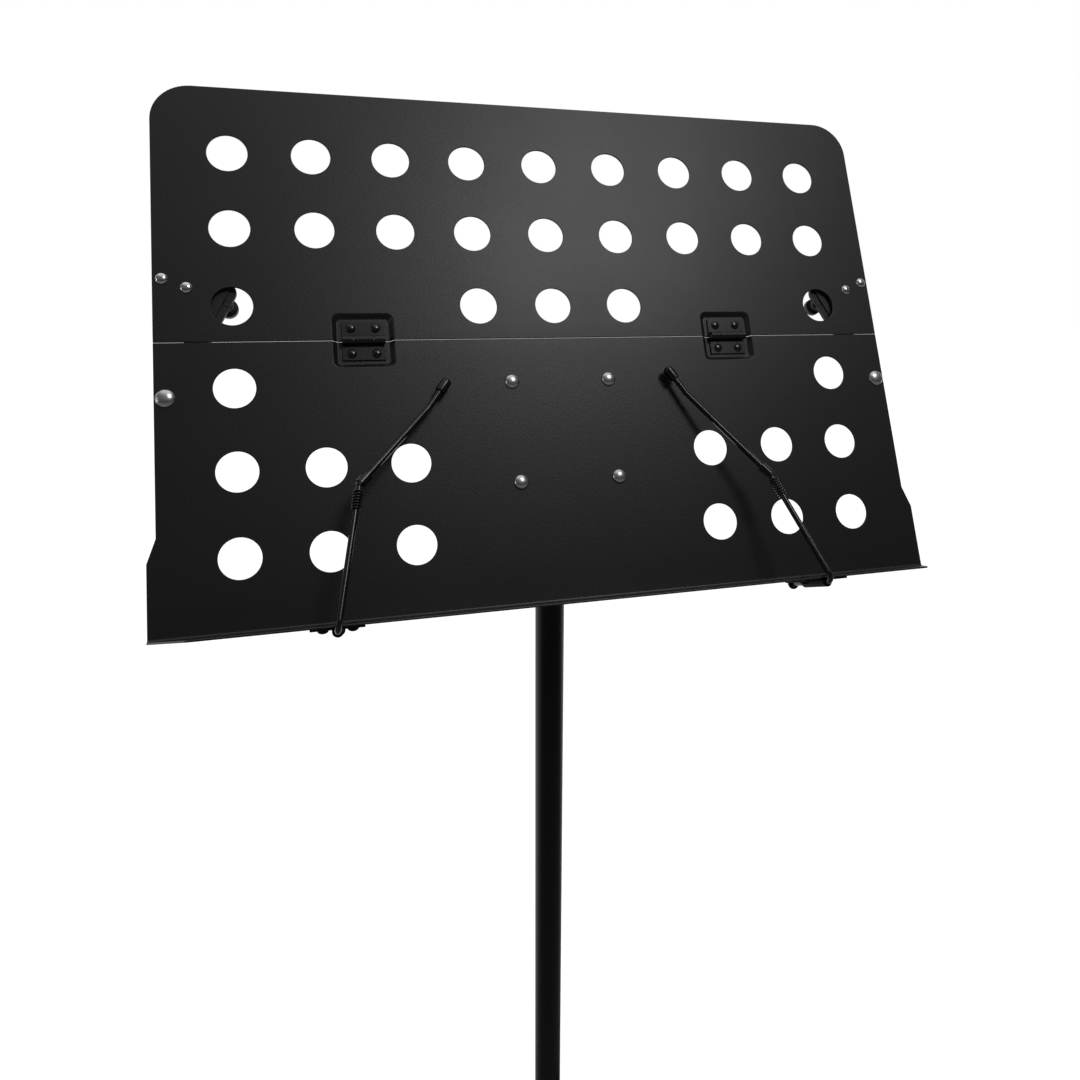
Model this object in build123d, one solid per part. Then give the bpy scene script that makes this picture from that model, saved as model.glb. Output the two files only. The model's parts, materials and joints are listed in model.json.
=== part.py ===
from build123d import *
import math
import os

# A music stand with a perforated desk that folds in half, on a telescopic pole with three folding legs.
# Millimetres. The origin is the floor point under the pole, +Z is up, and the reader stands at -Y.

# The pole
tilt_height = 1016.0
pole_radius = 10.5
pole_wall = 1.2
pole_top_drop = 26.0
pole_raise = 48.0
outer_tube_wall = 1.2
tube_step = 1.3
outer_tube_radius = pole_radius + tube_step + outer_tube_wall
outer_tube_bottom = 126.0
clamp_drop = 565.0

# The desk sheets. Desk places are (x, down from the fold, behind the music face).
lean = 22.0
sheet = 1.2
desk_half_width = 244.0
upper_height = 167.3
lower_height = 170.2
fold_gap = 0.5
top_corner_radius = 24.0
flare = 5.0
flare_start = 114.0
flare_end = 128.0
bend_radius = 1.5
ledge_depth = 37.0
ledge_front_half_width = desk_half_width - 22.0
ledge_corner_radius = 6.0

# Round holes through the desk, by row from the fold and by column from the middle
hole_radius = 12.0
hole_pitch = 50.0
hole_margin = 44.0
column_pitch = (desk_half_width - hole_margin) / 4
row_above_fold = 22.4
row_below_fold = 28.5
upper_rows = {0: (-4, -1, 0, 1, 4), 1: range(-4, 5), 2: range(-4, 5)}
lower_rows = {0: (-4, 4), 1: (-4, -3, -2, 2, 3, 4), 2: (-4, -3, -2, 2, 3, 4)}

# The two butt hinges in their pressed pockets
hinge_x = 124.0
pocket_width = 38.2
pocket_height = 35.4
pocket_corner = 4.5
pocket_slope = 3.4
knuckle_radius = 2.75
leaf_width = 26.0
leaf_reach = 12.25
leaf_thickness = 1.2
centre_knuckle = 12.7
hinge_pin_radius = 1.2
hinge_rivet_x = 7.5
hinge_rivet_v = 8.2
hinge_rivet_head = 3.0
hinge_rivet_rise = 1.4
hinge_rivet_shank = 1.5

# The tilt bracket, its rivets and its bolt
bracket_half_width = 42.0
bracket_top = 17.0
bracket_bottom = 106.0
bracket_plate = 2.0
bracket_corner = 8.0
bracket_rivet_x = 32.7
bracket_rivet_rows = (29.0, 94.4)
bracket_rivet_head = 4.8
bracket_rivet_shank = 2.5
silver_dome_rise = 2.6
tilt_down = 68.0
tilt_behind = 42.0
ear_half_base = 20.0
ear_radius = 13.0
ear_thickness = 2.5
friction_washer = 1.0
friction_washer_radius = 11.0
tilt_bolt_radius = 4.0
tilt_bolt_head_radius = 9.0
tilt_bolt_head_height = 4.5
tilt_bolt_reach = 20.0
tilt_bolt_point = 0.8
neck_half_thickness = 9.45
neck_radius = 12.5
neck_half_width = 10.0
neck_collar_radius = pole_radius + 1.0
neck_collar_height = 4.0
neck_spigot_length = 40.0
tilt_knob_radius = 15.0
tilt_knob_length = 24.0
steel_washer = 1.5
steel_washer_radius = 8.0

# The swing latches on the back and their keepers
latch_pivot = (desk_half_width - 6.3, 33.6)
latch_pivot_head = 5.5
latch_pivot_shank = 2.5
latch_spacer = 1.7
latch_spacer_radius = 6.0
latch_length = 74.0
latch_angle = 26.5
latch_end_radius = 7.0
latch_thickness = 3.0
latch_step = 0.9
latch_step_aside = 2.3
latch_step_along = 22.0
latch_knob_along = 68.0
latch_knob_aside = 4.3
latch_knob_radius = 5.9
latch_knob_stem = 3.5
latch_knob_height = 9.0
latch_stud_radius = 2.0
keeper_rivet = (desk_half_width - 5.4, -39.5)
keeper_angle = 22.4
keeper_rivet_pitch = 14.5
keeper_half_width = 5.0
keeper_plate = 1.2
keeper_riser_at = 20.0
keeper_lip_end = 30.0
keeper_lip_room = 0.45
keeper_rivet_head = 3.6
keeper_rivet_rise = 2.0
keeper_rivet_shank = 1.6

# The page arms on the ledge
arm_x = 148.0
arm_rod_radius = 1.8
arm_drop = arm_rod_radius + 0.4
arm_front = ledge_depth + 5.6
arm_bend_radius = 5.0
arm_points = {
    "left": {"elbow": (132.2, 93.8, -24.0), "kink": (88.5, 46.8, -8.0), "tip": (74.3, 28.1, -5.5)},
    "right": {"elbow": (126.8, 102.9, -24.0), "kink": (83.7, 43.1, -8.0), "tip": (72.3, 23.5, -5.5)},
}
kink_radius = 25.0
elbow_ball_radius = arm_rod_radius + 0.4
elbow_socket_radius = arm_rod_radius + 1.2
elbow_socket_length = 8.0
elbow_socket_lip = 0.8
spring_wire_radius = 0.55
spring_coil_radius = arm_rod_radius + spring_wire_radius + 0.3
spring_pitch = 1.7
spring_turns = 7
spring_top = 3.2
tip_cap_radius = arm_rod_radius + 1.5
tip_cap_length = 10.0
tip_cap_rise = 2.6
tip_cap_wall = 3.0
arm_strap_half_width = 14.4
arm_strap_plate = 1.2
arm_strap_length = 24.0
arm_strap_inset = 1.0
arm_barrel_radius = arm_rod_radius + 1.3
arm_bracket_rivet_x = 8.0
arm_bracket_rivet_head = 3.1
arm_bracket_rivet_rise = 2.0
arm_bracket_rivet_shank = 1.6
arm_clip_radius = arm_rod_radius + 2.0
arm_clip_thickness = 1.2
arm_tail = 2.0

# The height clamp and the sliding fit
collar_radius = outer_tube_radius + 5.5
collar_height = 42.0
collar_rim = 8.0
collar_chamfer = 2.0
bush_length = 60.0
guide_length = 30.0
guide_foot = 5.0
clamp_screw_radius = 4.0
clamp_screw_down = 22.0
clamp_boss_radius = 9.5
clamp_boss_reach = collar_radius + 9.0
clamp_knob_radius = 17.0
clamp_knob_length = 22.0
clamp_screw_in_knob = 14.0

# The leg hub and the legs
leg_slope = 30.0
leg_pivot_height = 150.0
leg_azimuths = {"back": 90.0, "left": 210.0, "right": 330.0}
leg_tube_radius = 9.5
leg_tube_wall = 1.2
leg_tube_end = 270.0
hub_radius = outer_tube_radius + 8.5
hub_below_pivot = 32.0
hub_above_pivot = 34.0
hub_chamfer = 3.0
lug_thickness = 6.0
knuckle_block_radius = leg_tube_radius + 1.5
lug_radius = knuckle_block_radius + 1.0
leg_pivot_radius = hub_radius + knuckle_block_radius + 4.0
knuckle_half_thickness = 7.0
knuckle_block_length = 20.0
knuckle_shoulder = 4.0
knuckle_spigot = 30.0
leg_pin_radius = 4.0
leg_pin_head = 6.5
leg_pin_head_height = 3.0
roof_length = 16.0
roof_thickness = 6.0
foot_radius = leg_tube_radius + 3.0
foot_length = 68.0
hub_plug_flange = 4.0
hub_plug_radius = outer_tube_radius + 3.5

# Clearances
running = 0.05
side_play = 0.3
knob_gap = 0.3
knob_lobes = 6

pieces = {}


def cylinder_between(start, end, radius):
    """A round bar from one point to another."""
    run = Vector(*end) - Vector(*start)
    base = Plane(origin=start, z_dir=run)
    return base * Cylinder(radius, run.length, align=(Align.CENTER, Align.CENTER, Align.MIN))


def turned(outline):
    """A lathe-turned piece on the Z axis from its (radius, height) outline."""
    points = [(radius, 0, height) for radius, height in outline]
    return revolve(Face(Wire.make_polygon(points, close=True)), Axis.Z)


def dome_edge(radius, rise, seat, outwards):
    """The arc of a dome from its rim on the seat to its crown on the Z axis."""
    ball = (radius**2 + rise**2) / (2 * rise)
    half = math.asin(radius / ball) / 2
    middle = (ball * math.sin(half), 0, seat + outwards * (rise - ball + ball * math.cos(half)))
    return ThreePointArc((radius, 0, seat), middle, (0, 0, seat + outwards * rise))


def rivet(head, rise, shank, grip, tail, tail_rise):
    """A set rivet on the Z axis: its head below zero, its shank through the grip, its tail beyond."""
    edges = [
        dome_edge(head, rise, 0, -1),
        Line((head, 0, 0), (shank, 0, 0)),
        Line((shank, 0, 0), (shank, 0, grip)),
        Line((shank, 0, grip), (tail, 0, grip)),
        dome_edge(tail, tail_rise, grip, 1),
        Line((0, 0, grip + tail_rise), (0, 0, -rise)),
    ]
    return revolve(Face(Wire(edges)), Axis.Z)


def lobed_knob(radius, length, screw_radius, bore_depth):
    """A moulded knob on the Z axis with finger scallops, a neck at its seat and a blind bore."""
    scallop = radius * 0.32
    grip = Circle(radius) - [
        Rot(0, 0, 360 * lobe / knob_lobes) * Pos(radius * 1.12, 0) * Circle(scallop)
        for lobe in range(knob_lobes)
    ]
    neck = 0.62 * radius
    neck_length = 0.25 * length
    edge = 0.14 * length
    rounding = turned([
        (0, 0), (neck, 0), (neck, neck_length), (radius - edge, neck_length + edge / 2),
        (radius, neck_length + 2 * edge), (radius, length - 2 * edge),
        (radius - edge / 2, length - edge / 2), (radius - 2 * edge, length), (0, length),
    ])
    bore = Cylinder(screw_radius + running, bore_depth, align=(Align.CENTER, Align.CENTER, Align.MIN))
    return (extrude(grip, length) & rounding) - bore


def group(solids):
    """Like pieces that share one name and stay separate solids."""
    return Compound(children=[solid for shape in solids for solid in shape.solids()])


def mirrored(shape):
    return mirror(shape, about=Plane.YZ)


# Desk places become stand places here.
tilt_point = Vector(0, 0, tilt_height)
down_dir = Vector(0, -math.sin(math.radians(lean)), -math.cos(math.radians(lean)))
behind_dir = Vector(0, math.cos(math.radians(lean)), -math.sin(math.radians(lean)))
fold_point = tilt_point - down_dir * tilt_down - behind_dir * tilt_behind
desk = Plane(origin=fold_point, x_dir=(1, 0, 0), z_dir=behind_dir).location


def add_desk(name, shape):
    pieces[name] = desk * shape


# Perforated panels

def punched(rows, first_row):
    """Round holes for one panel, by row and column."""
    outwards = math.copysign(1, first_row)
    return [
        Pos(column_pitch * column, first_row + outwards * hole_pitch * row) * Circle(hole_radius)
        for row, columns in rows.items()
        for column in columns
    ]


pocket_depth = knuckle_radius
pocket_cup = loft([
    RectangleRounded(pocket_width, pocket_height, pocket_corner),
    Pos(0, 0, pocket_depth) * RectangleRounded(
        pocket_width - 2 * pocket_slope, pocket_height - 2 * pocket_slope, pocket_corner / 2
    ),
])
pocket_places = [Pos(side * hinge_x, 0, 0) for side in (-1, 1)]


def with_pockets(panel, panel_side):
    """The panel with the half of each pressed pocket that lies on its side of the fold."""
    half = Pos(0, panel_side * (pocket_height + fold_gap / 2), 0) * Box(
        4 * hinge_x, 2 * pocket_height, 4 * (pocket_depth + sheet)
    )
    for place in pocket_places:
        panel += (place * Pos(0, 0, sheet) * pocket_cup) & half
    for place in pocket_places:
        panel -= place * pocket_cup
    return panel


def drilled(panel, places, radius):
    """The panel with straight holes through it from front to back."""
    deep = 4 * (pocket_depth + sheet)
    for x, v in places:
        panel -= Pos(x, v, 0) * Cylinder(radius, deep)
    return panel


def hinge_rivet_places(panel_side):
    return [
        (side * hinge_x + offset, panel_side * hinge_rivet_v)
        for side in (-1, 1)
        for offset in (-hinge_rivet_x, hinge_rivet_x)
    ]


keeper_along = Vector(-math.cos(math.radians(keeper_angle)), math.sin(math.radians(keeper_angle)))
keeper_places = [
    (side * (keeper_rivet[0] + keeper_along.X * pitch), keeper_rivet[1] + keeper_along.Y * pitch)
    for side in (-1, 1)
    for pitch in (0, keeper_rivet_pitch)
]
latch_places = [(side * latch_pivot[0], latch_pivot[1]) for side in (-1, 1)]
bracket_places = [(side * bracket_rivet_x, row) for side in (-1, 1) for row in bracket_rivet_rows]

upper_edge = upper_height - fold_gap / 2
upper_outline = Pos(0, -fold_gap / 2 - upper_edge / 2) * Rectangle(2 * desk_half_width, upper_edge)
upper_outline = fillet(upper_outline.vertices().group_by(Axis.Y)[0], top_corner_radius)
upper_panel = extrude(upper_outline - punched(upper_rows, -row_above_fold), sheet)
upper_panel = with_pockets(upper_panel, -1)
upper_panel = drilled(upper_panel, hinge_rivet_places(-1), hinge_rivet_shank + running)
upper_panel = drilled(upper_panel, keeper_places, keeper_rivet_shank + running)
add_desk("upper_panel", upper_panel)

# The lower panel is one sheet with its ledge bent forward.
flared = desk_half_width + flare
bend_start = lower_height - bend_radius
lower_outline = Polygon(
    (-desk_half_width, fold_gap / 2), (desk_half_width, fold_gap / 2), (desk_half_width, flare_start),
    (flared, flare_end), (flared, bend_start), (-flared, bend_start), (-flared, flare_end),
    (-desk_half_width, flare_start), align=None,
)
lower_panel = extrude(lower_outline - punched(lower_rows, row_below_fold), sheet)
bend_middle = Pos(bend_start, -bend_radius)
bend_quarter = bend_middle * Rectangle(bend_radius + sheet, bend_radius + sheet, align=Align.MIN)
bend_section = bend_middle * (Circle(bend_radius + sheet) - Circle(bend_radius)) & bend_quarter
ledge_section = Pos(lower_height, -bend_radius) * Rectangle(
    sheet, ledge_depth - bend_radius, align=(Align.MIN, Align.MAX)
)
ledge = extrude(Plane.YZ * (bend_section + ledge_section), flared, both=True)
ledge_plan = Polygon(
    (-flared, sheet), (flared, sheet), (flared, -bend_radius), (ledge_front_half_width, -ledge_depth),
    (-ledge_front_half_width, -ledge_depth), (-flared, -bend_radius), align=None,
)
ledge_plan = fillet(ledge_plan.vertices().group_by(Axis.Y)[0], ledge_corner_radius)
ledge &= Pos(0, lower_height, 0) * extrude(Plane.XZ * ledge_plan, lower_height / 2, both=True)
lower_panel += ledge
lower_panel = with_pockets(lower_panel, 1)
lower_panel = drilled(lower_panel, hinge_rivet_places(1), hinge_rivet_shank + running)
lower_panel = drilled(lower_panel, bracket_places, bracket_rivet_shank + running)
lower_panel = drilled(lower_panel, latch_places, latch_pivot_shank + running)
strap_front = ledge_depth - arm_strap_inset
strap_back = strap_front - arm_strap_length
arm_rivet_places = [
    (side * arm_x + offset, -(strap_front + strap_back) / 2)
    for side in (-1, 1)
    for offset in (-arm_bracket_rivet_x, arm_bracket_rivet_x)
]
ledge_underside = lower_height + sheet
for x, behind in arm_rivet_places:
    rivet_line = [(x, v, behind) for v in (lower_height - sheet, ledge_underside + sheet)]
    lower_panel -= cylinder_between(*rivet_line, arm_bracket_rivet_shank + running)
add_desk("lower_panel", lower_panel)

# Butt hinges: the upper leaf has the two end knuckles, the lower leaf the middle one.
knuckle_span = (leaf_width - centre_knuckle) / 2
end_knuckles = [(-leaf_width / 2, knuckle_span), (leaf_width / 2 - knuckle_span, knuckle_span)]
middle_knuckle = [(-centre_knuckle / 2, centre_knuckle)]


def hinge_leaf(panel_side, own, other):
    """A leaf on its pocket floor, rolled round the pin where it has knuckles and cut back between them."""
    low = pocket_depth - leaf_thickness
    leaf = Pos(0, panel_side * leaf_reach / 2, low + leaf_thickness / 2) * Box(
        leaf_width, leaf_reach, leaf_thickness
    )
    clear = knuckle_radius + side_play
    for start, span in other:
        leaf -= Pos(start + span / 2, 0, low) * Box(span + 2 * side_play, 2 * clear, 4 * leaf_thickness)
    for start, span in own:
        leaf += cylinder_between((start, 0, 0), (start + span, 0, 0), knuckle_radius)
    leaf -= cylinder_between((-leaf_width, 0, 0), (leaf_width, 0, 0), hinge_pin_radius + running)
    for offset in (-hinge_rivet_x, hinge_rivet_x):
        leaf -= Pos(offset, panel_side * hinge_rivet_v, low) * Cylinder(
            hinge_rivet_shank + running, 4 * leaf_thickness
        )
    return leaf


upper_leaf = hinge_leaf(-1, end_knuckles, middle_knuckle)
middle_shortened = [(start + side_play, span - 2 * side_play) for start, span in middle_knuckle]
lower_leaf = hinge_leaf(1, middle_shortened, end_knuckles)
for side, word in ((-1, "left"), (1, "right")):
    add_desk(f"hinge_upper_leaf_{word}", Pos(side * hinge_x, 0, 0) * upper_leaf)
    add_desk(f"hinge_lower_leaf_{word}", Pos(side * hinge_x, 0, 0) * lower_leaf)
hinge_pin = cylinder_between((-leaf_width / 2, 0, 0), (leaf_width / 2, 0, 0), hinge_pin_radius)
add_desk("hinge_pins", group(Pos(side * hinge_x, 0, 0) * hinge_pin for side in (-1, 1)))
hinge_rivet = rivet(
    hinge_rivet_head, hinge_rivet_rise, hinge_rivet_shank, leaf_thickness + sheet,
    hinge_rivet_head, hinge_rivet_rise,
)
leaf_face = pocket_depth - leaf_thickness
for panel_side, word in ((-1, "upper"), (1, "lower")):
    add_desk(
        f"hinge_rivets_{word}",
        group(Pos(x, v, leaf_face) * hinge_rivet for x, v in hinge_rivet_places(panel_side)),
    )

# Tilt bracket: a pressed plate on the back with two ears for the bolt.
bracket_face = sheet + bracket_plate
ear_inside = neck_half_thickness + running + friction_washer
bracket_height = bracket_bottom - bracket_top
plate_outline = Pos(0, (bracket_top + bracket_bottom) / 2) * RectangleRounded(
    2 * bracket_half_width, bracket_height, bracket_corner
)
tilt_bracket = Pos(0, 0, sheet) * extrude(plate_outline, bracket_plate)
ear_base = Pos(tilt_down, bracket_face - bracket_plate / 2) * Rectangle(2 * ear_half_base, bracket_plate)
ear_round = Pos(tilt_down, tilt_behind) * Circle(ear_radius)
ear = extrude(Plane.YZ * make_hull((ear_base + ear_round).edges()), ear_thickness)
for start in (ear_inside, -ear_inside - ear_thickness):
    tilt_bracket += Pos(start, 0, 0) * ear
bolt_line = [(x, tilt_down, tilt_behind) for x in (-4 * ear_inside, 4 * ear_inside)]
tilt_bracket -= cylinder_between(*bolt_line, tilt_bolt_radius + running)
tilt_bracket = drilled(tilt_bracket, bracket_places, bracket_rivet_shank + running)
add_desk("tilt_bracket", tilt_bracket)
bracket_rivet = rivet(
    bracket_rivet_head, silver_dome_rise, bracket_rivet_shank, bracket_face,
    bracket_rivet_head, silver_dome_rise,
)
add_desk("bracket_rivets", group(Pos(x, v, 0) * bracket_rivet for x, v in bracket_places))

ear_outside = ear_inside + ear_thickness
bolt_seat = Plane(origin=(-ear_outside, tilt_down, tilt_behind), z_dir=(1, 0, 0))
bolt_length = 2 * ear_outside + tilt_bolt_reach
tilt_bolt = rivet(
    tilt_bolt_head_radius, tilt_bolt_head_height, tilt_bolt_radius, bolt_length,
    tilt_bolt_radius - tilt_bolt_point, tilt_bolt_point,
)
add_desk("tilt_bolt", bolt_seat * tilt_bolt)


def washer_on_bolt(start, thickness, radius):
    ring_line = [(x, tilt_down, tilt_behind) for x in (start, start + thickness)]
    return cylinder_between(*ring_line, radius) - cylinder_between(*bolt_line, tilt_bolt_radius + running)


add_desk("friction_washers", group([
    washer_on_bolt(ear_inside - friction_washer, friction_washer, friction_washer_radius),
    washer_on_bolt(-ear_inside, friction_washer, friction_washer_radius),
]))
add_desk("tilt_washer", washer_on_bolt(ear_outside, steel_washer, steel_washer_radius))
tilt_knob_seat = ear_outside + steel_washer + knob_gap
tilt_knob_bore = ear_outside + tilt_bolt_reach + tilt_bolt_point + knob_gap - tilt_knob_seat
tilt_knob_plane = Plane(origin=(tilt_knob_seat, tilt_down, tilt_behind), z_dir=(1, 0, 0))
add_desk("tilt_knob", tilt_knob_plane * lobed_knob(
    tilt_knob_radius, tilt_knob_length, tilt_bolt_radius, tilt_knob_bore
))

# Swing latches, drawn on the right and mirrored to the left
latch_dir = Vector(-math.sin(math.radians(latch_angle)), -math.cos(math.radians(latch_angle)))
latch_aside = Vector(-math.cos(math.radians(latch_angle)), math.sin(math.radians(latch_angle)))


def on_latch(along, aside=0.0):
    place = Vector(*latch_pivot) + latch_dir * along + latch_aside * aside
    return Pos(place.X, place.Y)


latch_front = sheet + latch_spacer + running
latch_back = latch_front + latch_thickness
latch_eye = on_latch(0) * Circle(latch_spacer_radius)
latch_end = on_latch(latch_length) * Circle(latch_end_radius)
latch_outline = make_hull((latch_eye + latch_end).edges())
latch_bar = Pos(0, 0, latch_front) * extrude(latch_outline, latch_thickness)
latch_frame = Plane(origin=(*latch_pivot, latch_front), x_dir=latch_dir, z_dir=(0, 0, 1))
latch_bar -= latch_frame * Pos(latch_step_along, -latch_step_aside, 0) * Box(
    latch_length, latch_length, 2 * latch_step, align=(Align.MIN, Align.MAX, Align.CENTER)
)
latch_bar -= on_latch(0) * Cylinder(latch_pivot_shank + running, 4 * latch_back)
knob_place = on_latch(latch_knob_along, latch_knob_aside)
latch_bar -= knob_place * Cylinder(latch_stud_radius + running, 4 * latch_back)
knob_edge = 1.2
stud_front = latch_front + latch_step
latch_knob = knob_place * turned([
    (0, stud_front), (latch_stud_radius, stud_front), (latch_stud_radius, latch_back),
    (latch_knob_stem, latch_back), (latch_knob_stem, latch_back + latch_knob_height / 3),
    (latch_knob_radius, latch_back + latch_knob_height / 2),
    (latch_knob_radius, latch_back + latch_knob_height - knob_edge),
    (latch_knob_radius - knob_edge, latch_back + latch_knob_height), (0, latch_back + latch_knob_height),
])
latch_washer = Pos(*latch_pivot, sheet) * extrude(
    Circle(latch_spacer_radius) - Circle(latch_pivot_shank + running), latch_spacer
)
pivot_rivet = rivet(
    latch_pivot_head, silver_dome_rise, latch_pivot_shank, latch_back + running,
    latch_pivot_head, silver_dome_rise,
)

# Keepers: a strip on the back of the upper panel with a raised lip for the latch bar to swing under
keeper_frame = Plane(origin=(*keeper_rivet, sheet), x_dir=keeper_along, z_dir=(0, 0, 1))
lip_bottom = latch_back + keeper_lip_room - sheet
keeper_root = Pos(keeper_riser_at, 0) * Rectangle(
    keeper_plate, 2 * keeper_half_width, align=(Align.MIN, Align.CENTER)
)
keeper_flat = make_hull((Circle(keeper_half_width) + keeper_root).edges())
lip_length = keeper_lip_end - keeper_riser_at
keeper = extrude(keeper_flat, keeper_plate)
keeper += Pos(keeper_riser_at, 0, 0) * Box(
    keeper_plate, 2 * keeper_half_width, lip_bottom + keeper_plate,
    align=(Align.MIN, Align.CENTER, Align.MIN),
)
keeper += Pos(keeper_riser_at, 0, lip_bottom) * Box(
    lip_length, 2 * keeper_half_width, keeper_plate, align=(Align.MIN, Align.CENTER, Align.MIN)
)
for pitch in (0, keeper_rivet_pitch):
    keeper -= Pos(pitch, 0, 0) * Cylinder(keeper_rivet_shank + running, 4 * keeper_plate)
keeper = keeper_frame * keeper
for word, sided in (("left", mirrored), ("right", lambda shape: shape)):
    add_desk(f"latch_bar_{word}", sided(latch_bar))
    add_desk(f"latch_knob_{word}", sided(latch_knob))
    add_desk(f"keeper_{word}", sided(keeper))
add_desk("latch_spacers", group([latch_washer, mirrored(latch_washer)]))
add_desk("latch_pivot_rivets", group(Pos(x, v, 0) * pivot_rivet for x, v in latch_places))
keeper_rivet_piece = rivet(
    keeper_rivet_head, keeper_rivet_rise, keeper_rivet_shank, sheet + keeper_plate,
    keeper_rivet_head, keeper_rivet_rise,
)
add_desk("keeper_rivets", group(Pos(x, v, 0) * keeper_rivet_piece for x, v in keeper_places))

# Page arms. Each rod's foot lies against the underside of the ledge, held by a saddle strap.
arm_axis_v = ledge_underside + arm_drop


def arm_axis_point(front):
    return (arm_x, arm_axis_v, -front)


foot_line = [arm_axis_point(front) for front in (strap_back, strap_front)]
strap_box = Pos(arm_x, ledge_underside, -strap_front)
strap_align = (Align.CENTER, Align.MIN, Align.MIN)
arm_bracket = strap_box * Box(
    2 * arm_strap_half_width, arm_strap_plate, arm_strap_length, align=strap_align
)
under_ledge = strap_box * Box(
    4 * arm_barrel_radius, 4 * arm_barrel_radius, arm_strap_length, align=strap_align
)
arm_bracket += cylinder_between(*foot_line, arm_barrel_radius) & under_ledge
arm_bracket += strap_box * Box(2 * arm_barrel_radius, arm_drop, arm_strap_length, align=strap_align)
arm_bracket -= cylinder_between(*foot_line, arm_rod_radius + running)
arm_bracket -= strap_box * Box(2 * (arm_rod_radius + running), arm_drop, arm_strap_length, align=strap_align)
for offset in (-arm_bracket_rivet_x, arm_bracket_rivet_x):
    rivet_line = [
        (arm_x + offset, v, -(strap_front + strap_back) / 2) for v in (lower_height, arm_axis_v)
    ]
    arm_bracket -= cylinder_between(*rivet_line, arm_bracket_rivet_shank + running)
arm_rivet_top = 0.8
arm_rivet = rivet(
    arm_bracket_rivet_head, arm_bracket_rivet_rise, arm_bracket_rivet_shank, arm_strap_plate + sheet,
    arm_bracket_rivet_head, arm_rivet_top,
)
arm_rivet_seat = ledge_underside + arm_strap_plate
add_desk("arm_bracket_rivets", group(
    Plane(origin=(x, arm_rivet_seat, behind), z_dir=(0, -1, 0)) * arm_rivet for x, behind in arm_rivet_places
))

# A push-on clip behind the panel keeps the rod's foot in its strap.
clip_front = -(sheet + side_play)
clip_back = clip_front - arm_clip_thickness
foot_end = arm_axis_point(clip_back - arm_tail)
clip_line = [arm_axis_point(front) for front in (clip_back, clip_front)]
arm_clip = cylinder_between(*clip_line, arm_clip_radius)
arm_clip -= cylinder_between(*clip_line, arm_rod_radius + running)


def bent_rod(points, radius, bend):
    """Round wire along straight runs with one bend radius."""
    path = FilletPolyline(*points, radius=bend)
    start = Plane(origin=path @ 0, z_dir=path % 0)
    return sweep(start * Circle(radius), path=path)


def spring_coil(elbow, lower_dir):
    """A close coil round the lower rod: quarter turns of two arcs each, with short straight ends."""
    frame = Plane(origin=elbow - lower_dir * spring_top, z_dir=-lower_dir)
    quarter = math.pi / 2
    climb = spring_pitch / (2 * math.pi)

    def point(turn):
        local = (spring_coil_radius * math.cos(turn), spring_coil_radius * math.sin(turn), climb * turn)
        return frame.from_local_coords(Vector(*local))

    def heading(turn):
        local = Vector(-spring_coil_radius * math.sin(turn), spring_coil_radius * math.cos(turn), climb)
        return (frame.from_local_coords(local) - frame.origin).normalized()

    turns = [quarter * step for step in range(4 * spring_turns + 1)]
    run = 2 * spring_wire_radius
    edges = [Edge.make_line(point(0) - heading(0) * run, point(0))]
    for start, end in zip(turns, turns[1:]):
        middle = (start + end) / 2
        edges.append(Edge.make_tangent_arc(point(start), heading(start), point(middle)))
        edges.append(Edge.make_tangent_arc(point(middle), edges[-1] % 1, point(end)))
    edges.append(Edge.make_line(point(turns[-1]), point(turns[-1]) + heading(turns[-1]) * run))
    path = Wire(edges)
    steps = 24 * spring_turns
    samples = [path @ (step / steps) for step in range(steps + 1)]
    near = min(
        (a - b).length for i, a in enumerate(samples) for b in samples[i + 18:]
    )
    print("spring gap to itself", round(near - 2 * spring_wire_radius, 2))
    return sweep(Plane(origin=path @ 0, z_dir=path % 0) * Circle(spring_wire_radius), path=path)


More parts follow.
